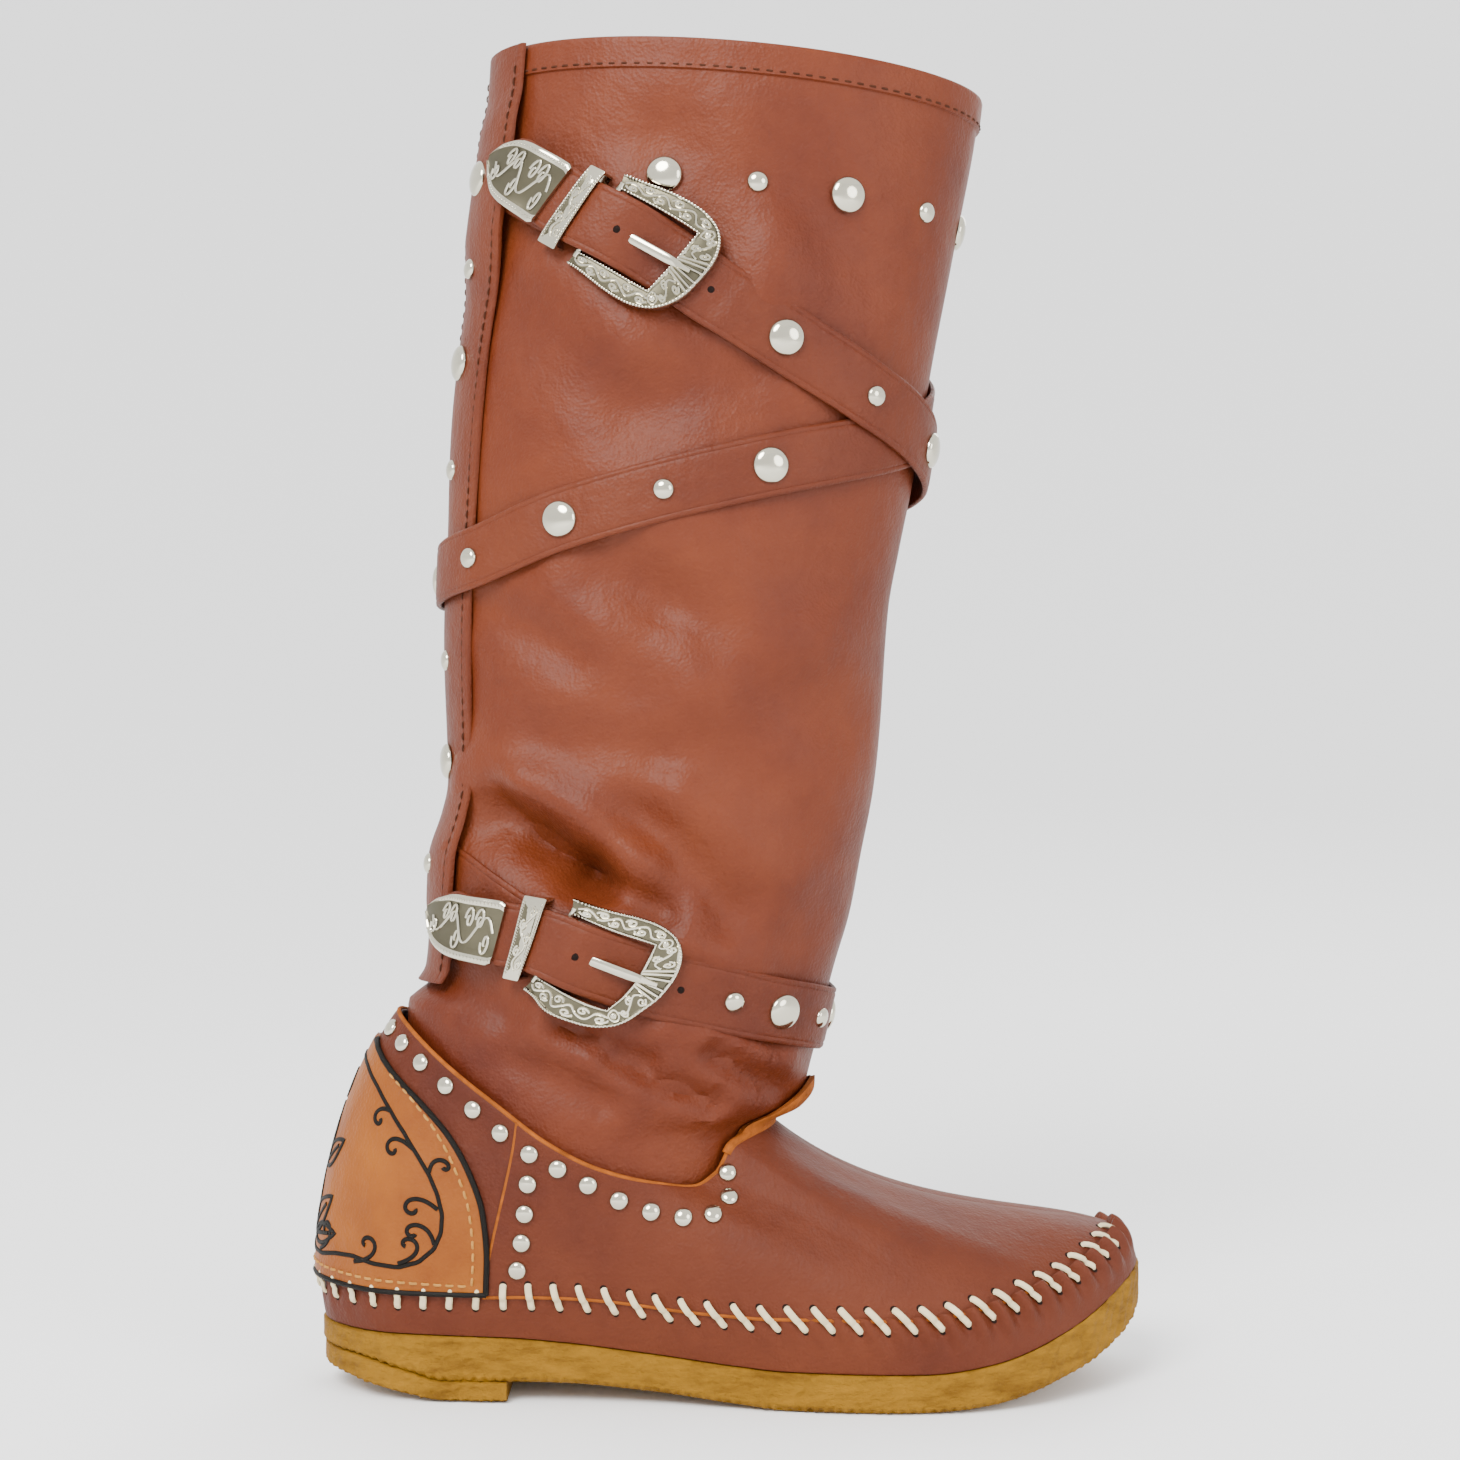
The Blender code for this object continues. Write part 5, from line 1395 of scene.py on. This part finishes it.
def build_tip(name, strap, node):
    """Pointed metal plate on the strap's end, with scrolls inside a plain rim."""
    start = strap.loop + TIP_FROM_BAR
    half_width = curve(TIP_SHAPE, "along", "wide")
    shares = np.concatenate((np.linspace(0.0, 0.9, 40), np.linspace(0.91, 1.0, 12)))
    shape = metal_profile(TIP_THICKNESS, 0.12, 0.0004)

    def face(share, across, rise):
        along = start + TIP_LENGTH * np.asarray(share)
        low = strap.underside(along) + STRAP_THICKNESS + 2 * CLEARANCE
        half = STRAP_WIDTH / 2 * half_width(share)
        return strap.place(along, (np.asarray(across) - 0.5) * 2 * half, low + rise)

    mesh = bmesh.new()
    points = face(shares[:, None], shape[None, :, 0], shape[None, :, 1])
    verts = add_grid(mesh, points, round_columns=True, cap=True)
    darken_ground(mesh, verts, shape, 0.12)
    top = TIP_THICKNESS - 0.0001
    add_scrolls(mesh, face, vine(0.06, 0.84, 2, 0.22, 7), top, 0.00042)
    for edge in (0.07, 0.93):
        add_beads(mesh, face, 0.03, 0.86, edge, top, 22, 0.0004)
    add_piece(name, mesh, ("bright_nickel", "antiqued_nickel"), node)


def build_buckles():
    """Both buckles with their keepers and tips."""
    for name, strap in (("wrap", WRAP), ("ankle", ANKLE)):
        build_frame_plate(name + "_frame_plate", strap, name + "_buckle_frame")
        build_prong(name + "_tongue", strap, name + "_buckle_prong")
        build_keeper(name + "_keeper_loop", strap, name + "_buckle_keeper")
        build_tip(name + "_strap_tip", strap, name + "_buckle_tip")


def add_stitches(mesh, face, line, length, gap, rise, radius, finish=0):
    """Thread stitches along a line on a surface: each dips into the leather at both ends."""
    fine = np.linspace(0.0, 1.0, 8 * len(line))
    steps = np.linspace(0.0, 1.0, len(line))
    spots = resample(fine, steps, line)
    walked = walk(face(spots[:, 0], spots[:, 1], rise))
    for start in np.arange(gap / 2, walked[-1] - length, length + gap):
        run = start + length * np.linspace(0.0, 1.0, 5)
        own = resample(run, walked, spots)
        spot = (own[:, 0], own[:, 1], rise + radius * np.array((-1.4, 0.1, 0.3, 0.1, -1.4)))
        add_tube(mesh, face(*spot), face_out(face, *spot), radius, 0.8, 5, finish)


def build_lace(looks):
    """Whip-stitched lace over the raw edge, with a disc of painted shade for the hole at both ends
    of each stitch.
    """
    mesh = bmesh.new()
    places, walked = seam_run()
    pitch = looks.lace_pitch
    count = int((walked[-1] - walked[0]) / pitch)
    first = walked[0] + (walked[-1] - walked[0] - count * pitch) / 2
    for k in range(count):
        run = (math.floor(first / pitch) + k + 0.5) * pitch
        if not walked[0] < run < walked[-1]:
            continue
        place = float(np.interp(run, walked, places))
        seam = float(column["seam"](abs(place)))
        here = foot_point(place, np.array((seam - 0.01, seam + 0.01)))
        up_length = np.linalg.norm(here[1] - here[0]) / 0.02
        beside = foot_point(np.array((place - 0.002, place + 0.002)), seam)
        place_length = np.linalg.norm(beside[1] - beside[0]) / 0.004
        slant = math.tan(math.radians(LACE_SLANT)) * float(ease(0.10, 0.17, abs(place)))
        t = np.array((-1.0, -0.86, -0.6, -0.25, 0.0, 0.25, 0.6, 0.86, 1.0))
        ups = seam + t * LACE_REACH / up_length
        own = place - math.copysign(1.0, place) * t * LACE_REACH * slant / place_length
        step = foot_step(place)
        base = np.where(t > 0, step, gather_height(own, ups, looks))
        base[t == 0] = step * 0.9
        lift = base + 0.0009 * (1 - t ** 8) - 0.0004 * t ** 8
        path = foot_skin(own, ups, lift)
        outward = foot_normal(own, ups)
        add_tube(mesh, path, outward, LACE_RADIUS, LACE_FLAT, 8)
        for end in (0, -1):
            seat = foot_skin(own[end], ups[end], base[end] - 0.0002)
            # Painted shade: a dark disc stands for the hole at this end of the stitch.
            add_dome(mesh, seat, outward[end], LACE_HOLE_RADIUS, 0.0004, 10, 3, finish=1)
    add_piece("whip_stitch_lace", mesh, ("cream_lace", "painted_hole_shade"))


def build_edges():
    """Raw cut edges of vamp and quarters, and the suede lip over the instep."""
    def line(places, ups, out):
        return foot_skin(places, ups, out), foot_normal(places, ups)

    mesh = bmesh.new()
    round_foot = np.linspace(VAMP_REAR, 1 - VAMP_REAR, 420)
    add_tube(mesh, *line(round_foot, seam_at(round_foot) - 0.001, VAMP_STEP * 0.55), 0.00065,
             1.0, 8)
    add_tube(mesh, *line(round_foot, np.full(420, 1.0), VAMP_STEP * 0.3), 0.0008, 1.0, 8)
    rise = np.linspace(0.0, 1.0, 60)
    for side in (-1, 1):
        edge = np.full(60, side * VAMP_REAR)
        add_tube(mesh, *line(edge, above_seam(edge, rise), VAMP_STEP * 0.6), 0.0006, 1.0, 8)
    heel = np.linspace(-VAMP_REAR, VAMP_REAR, 160)
    add_tube(mesh, *line(heel, np.full(160, 1.0), 0.0002), 0.0007, 1.0, 8)
    lip = np.linspace(0.37, 0.63, 120)
    swell = np.sin(np.linspace(0.0, math.pi, 120)) * 0.0016
    add_tube(mesh, *line(lip, np.full(120, 1.0), swell * 0.4), 0.0017, 1.0, 12)
    add_piece("raw_edges", mesh, ("raw_edge",))


def build_tongue():
    """Suede tongue that shows over the instep, in front of the leg."""
    angles = np.linspace(-TONGUE_HALF_ANGLE, TONGUE_HALF_ANGLE, 61)[None]
    shares = np.linspace(0.0, 1.0, 22)[:, None]
    low = top_edge(angles) - 0.004
    height = low + (0.005 + 0.013 * (1 - (angles / TONGUE_HALF_ANGLE) ** 2)) * shares
    bulge = 0.0018 * np.sin(math.pi * shares) + 0.0010 - hollow_depth(angles, height)
    outer, inner = (shaft_skin(angles, height, bulge + skin) for skin in (0.0016, 0.0))
    mesh = bmesh.new()
    add_grid(mesh, sheet_rings(outer, inner), round_columns=True, cap=True)
    add_piece("suede_tongue", mesh, ("raw_edge",))


def patch_face(across, up, rise):
    """Point of the heel patch's face: across from -1 to 1, up from 0 to 1."""
    place = np.asarray(across) * patch_span(up)
    height = PATCH_BOTTOM + (PATCH_TOP - PATCH_BOTTOM) * np.asarray(up)
    return foot_skin(place, above_seam(place, height), QUARTER_STEP + 0.0014 + rise)


# Tendrils of the patch in millimetres from its lower middle: root, heading in degrees, length
# and bend, where a positive bend curls to the left.
TENDRILS = table(
    "x y heading length bend",
    (12, 9, 25, 18, 5.6), (30, 9, 15, 20, 5.8), (45, 11, 30, 19, 5.6), (56, 20, 110, 19, 5.8),
    (55, 34, 150, 19, 5.8), (49, 46, 95, 14, -5.6), (43, 52, 160, 17, 5.8), (32, 60, 185, 14, 5.6))

# Leaves: root, heading in degrees, length and half width in millimetres.
LEAVES = table(
    "x y heading length half",
    (0, 14, 90, 20, 5.0), (0, 36, 90, 16, 4.0), (3, 14, 45, 18, 4.2), (3, 34, 40, 15, 3.4),
    (0, 54, 90, 9, 2.4), (6, 13, 12, 15, 3.2))


def patch_scrolls():
    """Tooled vine, tendrils and leaves of the patch, alike on both sides of its middle."""
    stem = np.array(((0, 10), (7, 8), (14, 8), (22, 10), (30, 11), (38, 10), (46, 10), (52, 13),
                     (56, 19), (57, 26), (56, 33), (53, 40), (49, 46), (44, 51), (38, 56), (31, 60),
                     (22, 64), (12, 67), (0, 69)), float)
    lines = [resample(np.linspace(0, len(stem) - 1, 90), np.arange(len(stem)), stem)]
    for x, y, heading, length, bend in zip(*(TENDRILS[k] for k in TENDRILS)):
        share = np.linspace(0.0, 1.0, 34)
        turn = math.radians(heading) + bend * share ** 1.7
        step = length / 34 * (1.5 - share)
        lines.append(np.column_stack((x + np.cumsum(np.cos(turn) * step),
                                      y + np.cumsum(np.sin(turn) * step))))
    for x, y, heading, length, half in zip(*(LEAVES[k] for k in LEAVES)):
        share = np.concatenate((np.linspace(0.0, 1.0, 14), np.linspace(1.0, 0.0, 14)[1:]))
        side = np.concatenate((np.ones(14), -np.ones(13)))
        wide = side * half * np.sin(math.pi * share ** 0.75)
        turn = math.radians(heading)
        lines.append(np.column_stack((x + length * share * math.cos(turn) - wide * math.sin(turn),
                                      y + length * share * math.sin(turn) + wide * math.cos(turn))))
        vein = np.linspace(0.15, 0.75, 6) * length
        lines.append(np.column_stack((x + vein * math.cos(turn), y + vein * math.sin(turn))))
    lines += [line * (-1, 1) for line in lines if line[:, 0].max() > 5.5]
    flat = []
    for line in lines:
        up = line[:, 1] / PATCH_PLAN_HEIGHT
        flat.append(np.column_stack((line[:, 0] / PATCH_PLAN_TURN / patch_span(up), up)))
    return flat


def build_patch():
    """Tooled patch with its black edge, scrolls and cream stitches."""
    across = np.linspace(-1.0, 1.0, 81)[None]
    up = np.linspace(0.0, 1.0, 70)[:, None]
    edge = np.minimum(1.0, np.minimum(1 - np.abs(across), np.minimum(up, 1 - up) * 2) * 30)
    outer = patch_face(across, up, -0.0003 * (1 - edge))
    inner = patch_face(across[:, ::4], up, -0.0021)
    mesh = bmesh.new()
    add_grid(mesh, sheet_rings(outer, inner), round_columns=True, cap=True)
    rim_up = np.concatenate((np.linspace(0.0, 0.985, 60), np.linspace(0.985, 0.0, 60)))
    rim_across = np.concatenate((np.full(60, -1.0), np.full(60, 1.0)))
    rim = patch_face(rim_across, rim_up, -0.0003)
    low = patch_face(np.linspace(-1.0, 1.0, 80), np.zeros(80), -0.0003)
    for path in (rim, low):
        outward = unit(path - path.mean(axis=0) * (0.3, 0.3, 1.0))
        add_tube(mesh, path, outward, 0.0009, 1.0, 8, finish=1)
    add_scrolls(mesh, patch_face, patch_scrolls(), -0.0002, 0.00085, finish=1)
    rise, flat = np.linspace(0.045, 0.93, 60), np.linspace(-0.92, 0.92, 60)
    inset = 1 - 0.0072 / np.maximum(patch_span(rise), 0.012)
    for line in ((-inset, rise), (inset, rise), (flat, 0 * flat + 0.055)):
        add_stitches(mesh, patch_face, np.column_stack(line), TAN_STITCH, STITCH_GAP, 0.0002,
                     TAN_THREAD_RADIUS, finish=2)
    add_piece("tooled_heel_patch", mesh, ("patch_leather", "black_edge_dye", "tan_thread"),
              "heel_patch")


def strip_face(across, height, rise):
    """Point of the back strip's face: across from -1 to 1 at a world height."""
    height = np.asarray(height, float)
    level = height / BOOT_HEIGHT
    middle = strip_angle(level)
    half_turn = STRIP_WIDTH / 2 / degree_arc(middle, height)
    out = strip_off(level) + STRIP_THICKNESS + rise
    return shaft_skin(middle + half_turn * across, height, out)


def build_back_strip():
    """Long strip down the back, with a stitched line near both edges."""
    top = collar_height(195.0) - CLEARANCE
    height = np.linspace(STRIP_BOTTOM, top, 220)[:, None]
    across = np.array((-1.0, -0.985, -0.95, -0.84, -0.82, -0.80, -0.6, -0.3, 0.0, 0.3, 0.6, 0.80,
                       0.82, 0.84, 0.95, 0.985, 1.0))[None]
    press = np.array((-0.0007, -0.0002, 0.0, 0.0, -0.0003, 0.0, 0.0001, 0.0002, 0.0002, 0.0002,
                      0.0001, 0.0, -0.0003, 0.0, 0.0, -0.0002, -0.0007))[None]
    wave = 0.0003 * np.sin(height * 90.0)
    outer = strip_face(across, height, press + wave)
    inner = strip_face(across[:, ::4], height, -STRIP_THICKNESS + 0.0001)
    mesh = bmesh.new()
    add_grid(mesh, sheet_rings(outer, inner), round_columns=True, cap=True)

    run = np.linspace(STRIP_BOTTOM + 0.003, top - 0.003, 120)
    for side in (-0.82, 0.82):
        add_stitches(mesh, strip_face, np.column_stack((0 * run + side, run)), 0.0024, STITCH_GAP,
                     0.0001, 0.0003, finish=1)
    add_piece("back_strip_leather", mesh, ("strap_leather", "brown_thread"),
              "back_strip")


def build_hem():
    """Stitched line of the collar's folded hem."""
    def face(angle, share, rise):
        height = collar_height(angle) - HEM_WIDTH * (1 - share)
        sunk = hollow_depth(angle, height)
        return shaft_skin(angle, height, HEM_STEP + rise - sunk)

    mesh = bmesh.new()
    angles = np.linspace(205.0, 546.0, 200)
    add_stitches(mesh, face, np.column_stack((angles, 0 * angles + 0.10)), 0.0026, 0.0014, 0.0001,
                 0.00034)
    add_piece("hem_stitches", mesh, ("brown_thread",))


def build_holes():
    """Punched holes of both straps, each a dark disc of painted shade."""
    mesh = bmesh.new()
    for strap in (WRAP, ANKLE):
        for past in HOLES_FROM_BAR:
            along = strap.loop + past
            top = strap.underside(along) + STRAP_THICKNESS
            seat = strap.place(along, 0.0, top - 0.0003)
            outward = strap.axes(along, 0.0, top)[2]
            # Painted shade: a dark disc stands for the punched hole.
            add_dome(mesh, seat, outward, STRAP_HOLE_RADIUS, 0.00055, 16, 3)
    add_piece("strap_holes", mesh, ("painted_hole_shade",))


def rough(values, depth):
    """Uneven cut of the crepe: a sum of waves over distance and height."""
    run, height = values
    wave = np.sin(run * 310.0 + height * 90.0) + 0.7 * np.sin(run * 730.0 - height * 260.0 + 1.3)
    wave = wave + 0.8 * np.sin(run * 1490.0 + height * 700.0 + 0.6)
    return depth * wave * (0.6 + 0.4 * np.sin(run * 57.0))


def sole_layer(name, low_share, high_share, inset, breast, gap, node):
    """One crepe layer: eased top edge, rough side and saw-cut tread edge."""
    limit = 0.5 if breast is None else float(np.interp(breast, HALVES[-1][1][:, 0],
                                                       HALVES[-1][0] * 0.5))
    places = np.linspace(-limit, limit, 900 if breast is None else 420)
    edge, outward = sole_edge(places)
    edge = edge - outward * inset
    if breast is not None:
        edge[:, 0] = np.minimum(edge[:, 0], breast)
    run = walk(edge)
    low, high = sole_height(edge[:, 0], low_share), sole_height(edge[:, 0], high_share) - gap
    heel, toe = -HEEL_SPOT_CENTRE + 0.03, SOLE_LENGTH - HEEL_SPOT_CENTRE - 0.03
    middle_x = np.clip(edge[:, 0], heel, toe)
    share = (middle_x + HEEL_SPOT_CENTRE) / SOLE_LENGTH
    middle_y = (edge_y(share, -1) + edge_y(share, 1)) / 2
    notch = np.abs((run / CREPE_SAW_PITCH) % 1.0 - 0.5) * 2
    levels = np.concatenate(([0.0], np.linspace(0.06, 0.94, 12), [1.0]))
    columns = [spatial(middle_x, middle_y, sole_height(middle_x, low_share))]
    columns.append(spatial(*(edge - outward * 0.0016).T, low))
    for i, level in enumerate(levels):
        height = low + (high - low) * level
        out = rough((run, height), 0.00022) - 0.0009 * (level == 0.0) - 0.0007 * (level == 1.0)
        saw = (CREPE_SAW_DEPTH if i < 2 else 0.0) * notch
        spot = edge + outward * (out - saw)[:, None]
        columns.append(spatial(spot[:, 0], spot[:, 1], height + saw * 0.9 * (i < 2)))
    columns.append(spatial(middle_x, middle_y, sole_height(middle_x, high_share) - gap))
    points = np.stack(columns, axis=1)
    mesh = bmesh.new()
    whole = breast is None
    add_grid(mesh, points[:-1] if whole else points, round_columns=True, round_rows=whole,
             cap=not whole)
    add_piece(name, mesh, ("gum_crepe_sole",), node, 50.0)


def build_sole():
    """Crepe outsole and heel lift."""
    sole_layer("crepe_outsole", sole_bottom_share, sole_top_share, 0.0, None, 0.0, "outsole")
    sole_layer("crepe_heel_lift", lift_bottom_share, sole_bottom_share, 0.0006,
               HEEL_LIFT_BREAST - HEEL_SPOT_CENTRE, CLEARANCE * 0.5, "heel_lift")


def build_insole():
    """Finish of the insole, which the frame shows as it is."""
    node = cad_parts["insole"]
    node.data.materials.clear()
    node.data.materials.append(finish_of("tan_lining"))


def add_light(name, place, target, size, power):
    """White disc light that faces its target."""
    data = bpy.data.lights.new(name, "AREA")
    data.shape, data.size, data.energy = "DISK", size, power
    made = new_object(name, data)
    made.location = place
    made.rotation_euler = (Vector(target) - Vector(place)).to_track_quat("-Z", "Y").to_euler()


def build_stage(looks):
    """Pale floor that sweeps up all round, soft lights and the photograph's camera."""
    flat, bend = looks.floor_size / 6, looks.floor_size / 2
    rise = np.linspace(0.0, math.pi / 2, 24)
    reach = np.concatenate(([0.0, flat * 0.5], flat + bend * np.sin(rise)))
    height = np.concatenate(([0.0, 0.0], bend * (1 - np.cos(rise))))
    turns = circle(96)
    points = spatial(reach[:, None] * np.cos(turns), reach[:, None] * np.sin(turns),
                     height[:, None])
    mesh = bmesh.new()
    add_grid(mesh, points, round_columns=True)
    data = new_mesh("studio_floor", mesh)
    data.materials.append(new_nodes("studio_floor", (0.92, 0.92, 0.92), 0.9)[0])
    floor = new_object("studio_floor", data)
    floor.location = (0.0, 0.0, -0.0005)
    world = bpy.data.worlds.new("studio")
    world.use_nodes = True
    sky = world.node_tree.nodes["Background"]
    sky.inputs["Color"].default_value = (1.0, 1.0, 1.0, 1.0)
    sky.inputs["Strength"].default_value = 1.9
    bpy.context.scene.world = world
    middle = (0.06, 0.0, 0.2)
    add_light("key_light", (-0.5, -1.3, 1.3), middle, 0.9, 52.0)
    add_light("fill_light", (1.2, -1.1, 0.6), middle, 0.8, 10.0)
    add_light("rim_light", (0.6, 1.2, 1.0), middle, 0.8, 7.0)
    data = bpy.data.cameras.new("photo_camera")
    data.sensor_width, data.lens = 36.0, 36.0 * 2536 / 1460
    camera = new_object("photo_camera", data)
    camera.location = (0.0788, -0.8, 0.2039)
    camera.rotation_euler = (math.pi / 2, 0.0, 0.0)
    bpy.context.scene.camera = camera


def colour_setting(name, description, default):
    return FloatVectorProperty(name=name, description=description, default=default,
                               subtype="COLOR", size=3, min=0.0, max=1.0)


class BootLooks(bpy.types.PropertyGroup):
    """Sizes and colours of the boot's finish."""

    leather_colour: colour_setting("Leather", "Colour of the waxed leather",
                                   (0.094, 0.0165, 0.0036))
    crepe_colour: colour_setting("Crepe", "Colour of the gum crepe sole", (0.20, 0.095, 0.007))
    patch_colour: colour_setting("Heel patch", "Colour of the tooled patch", (0.21, 0.058, 0.0035))
    lace_colour: colour_setting("Lace", "Colour of the whip-stitch lace", (0.62, 0.52, 0.32))
    metal_colour: colour_setting("Metal", "Colour of the studs and buckles", (0.52, 0.49, 0.39))
    lace_pitch: FloatProperty(name="Lace pitch", description="Distance between lace stitches",
                              default=0.0081, min=0.004, max=0.02, unit="LENGTH")
    gather_depth: FloatProperty(name="Gather depth", description="Depth of the toe's gathers",
                                default=0.0042, min=0.0, max=0.006, unit="LENGTH")
    small_stud_radius: FloatProperty(name="Small stud radius", description="Radius of a small stud",
                                     default=0.0032, min=0.002, max=0.005, unit="LENGTH")
    floor_size: FloatProperty(name="Floor size", description="Three quarters of the floor's width",
                              default=6.0, min=2.0, max=40.0, unit="LENGTH")


class BOOT_OT_build_sole(bpy.types.Operator):
    """Crepe outsole and heel lift"""

    bl_idname = "boot.build_sole"
    bl_label = "Sole"

    def execute(self, context):
        build_sole()
        return {"FINISHED"}


class BOOT_OT_build_insole(bpy.types.Operator):
    """Finish of the insole"""

    bl_idname = "boot.build_insole"
    bl_label = "Insole"

    def execute(self, context):
        build_insole()
        return {"FINISHED"}


class BOOT_OT_build_foot(bpy.types.Operator):
    """Moccasin bottom piece, quarters and vamp"""

    bl_idname = "boot.build_foot"
    bl_label = "Foot"

    def execute(self, context):
        build_foot(context.scene.boot_looks)
        return {"FINISHED"}


class BOOT_OT_build_shaft(bpy.types.Operator):
    """Leg with its hollows, folds and hem"""

    bl_idname = "boot.build_shaft"
    bl_label = "Leg"

    def execute(self, context):
        build_shaft()
        return {"FINISHED"}


class BOOT_OT_build_edges(bpy.types.Operator):
    """Raw cut edges and the suede lip"""

    bl_idname = "boot.build_edges"
    bl_label = "Raw edges"

    def execute(self, context):
        build_edges()
        return {"FINISHED"}


class BOOT_OT_build_tongue(bpy.types.Operator):
    """Suede tongue in front of the leg"""

    bl_idname = "boot.build_tongue"
    bl_label = "Tongue"

    def execute(self, context):
        build_tongue()
        return {"FINISHED"}


class BOOT_OT_build_lace(bpy.types.Operator):
    """Whip-stitched lace with painted shade for its holes"""

    bl_idname = "boot.build_lace"
    bl_label = "Lace"

    def execute(self, context):
        build_lace(context.scene.boot_looks)
        return {"FINISHED"}


class BOOT_OT_build_patch(bpy.types.Operator):
    """Tooled heel patch with its stitches"""

    bl_idname = "boot.build_patch"
    bl_label = "Heel patch"

    def execute(self, context):
        build_patch()
        return {"FINISHED"}


class BOOT_OT_build_back_strip(bpy.types.Operator):
    """Strip down the back with its stitches"""

    bl_idname = "boot.build_back_strip"
    bl_label = "Back strip"

    def execute(self, context):
        build_back_strip()
        return {"FINISHED"}


class BOOT_OT_build_hem(bpy.types.Operator):
    """Stitched line of the collar's hem"""

    bl_idname = "boot.build_hem"
    bl_label = "Hem"

    def execute(self, context):
        build_hem()
        return {"FINISHED"}


class BOOT_OT_build_wrap_strap(bpy.types.Operator):
    """Strap wound twice round the leg"""

    bl_idname = "boot.build_wrap_strap"
    bl_label = "Wrap strap"

    def execute(self, context):
        build_strap("wrap_strap_leather", WRAP, "wrap_strap")
        return {"FINISHED"}


class BOOT_OT_build_ankle_strap(bpy.types.Operator):
    """Strap once round the ankle"""

    bl_idname = "boot.build_ankle_strap"
    bl_label = "Ankle strap"

    def execute(self, context):
        build_strap("ankle_strap_leather", ANKLE, "ankle_strap")
        return {"FINISHED"}


class BOOT_OT_build_holes(bpy.types.Operator):
    """Punched holes of both straps, as discs of painted shade"""

    bl_idname = "boot.build_holes"
    bl_label = "Strap holes"

    def execute(self, context):
        build_holes()
        return {"FINISHED"}


class BOOT_OT_build_buckles(bpy.types.Operator):
    """Frames, tongues, keepers and tips"""

    bl_idname = "boot.build_buckles"
    bl_label = "Buckles"

    def execute(self, context):
        build_buckles()
        return {"FINISHED"}


class BOOT_OT_build_big_studs(bpy.types.Operator):
    """Flat-domed big studs"""

    bl_idname = "boot.build_big_studs"
    bl_label = "Big studs"

    def execute(self, context):
        build_big_studs()
        return {"FINISHED"}


class BOOT_OT_build_small_studs(bpy.types.Operator):
    """Small studs of straps, collar and foot"""

    bl_idname = "boot.build_small_studs"
    bl_label = "Small studs"

    def execute(self, context):
        build_small_studs(context.scene.boot_looks)
        return {"FINISHED"}


class BOOT_OT_build_stage(bpy.types.Operator):
    """Floor, lights and camera"""

    bl_idname = "boot.build_stage"
    bl_label = "Stage"

    def execute(self, context):
        build_stage(context.scene.boot_looks)
        return {"FINISHED"}


OPERATORS = (BOOT_OT_build_sole,
             BOOT_OT_build_insole,
             BOOT_OT_build_foot,
             BOOT_OT_build_shaft,
             BOOT_OT_build_edges,
             BOOT_OT_build_tongue,
             BOOT_OT_build_lace,
             BOOT_OT_build_patch,
             BOOT_OT_build_back_strip,
             BOOT_OT_build_hem,
             BOOT_OT_build_wrap_strap,
             BOOT_OT_build_ankle_strap,
             BOOT_OT_build_holes,
             BOOT_OT_build_buckles,
             BOOT_OT_build_big_studs,
             BOOT_OT_build_small_studs,
             BOOT_OT_build_stage)


class BOOT_PT_looks(bpy.types.Panel):
    """Sidebar panel with the boot's settings and pieces"""

    bl_idname = "BOOT_PT_looks"
    bl_label = "Moccasin Boot"
    bl_space_type = "VIEW_3D"
    bl_region_type = "UI"
    bl_category = "Boot"

    def draw(self, context):
        looks = context.scene.boot_looks
        for setting in BootLooks.__annotations__:
            self.layout.prop(looks, setting)
        for operator in OPERATORS:
            self.layout.operator(operator.bl_idname)


CLASSES = (BootLooks, *OPERATORS, BOOT_PT_looks)


def register():
    for item in CLASSES:
        bpy.utils.register_class(item)
    bpy.types.Scene.boot_looks = PointerProperty(type=BootLooks)


def unregister():
    del bpy.types.Scene.boot_looks
    for item in reversed(CLASSES):
        bpy.utils.unregister_class(item)


def main():
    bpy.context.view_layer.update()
    register()
    for operator in OPERATORS:
        getattr(bpy.ops.boot, operator.bl_idname.split(".")[1])()


if __name__ == "__main__":
    main()
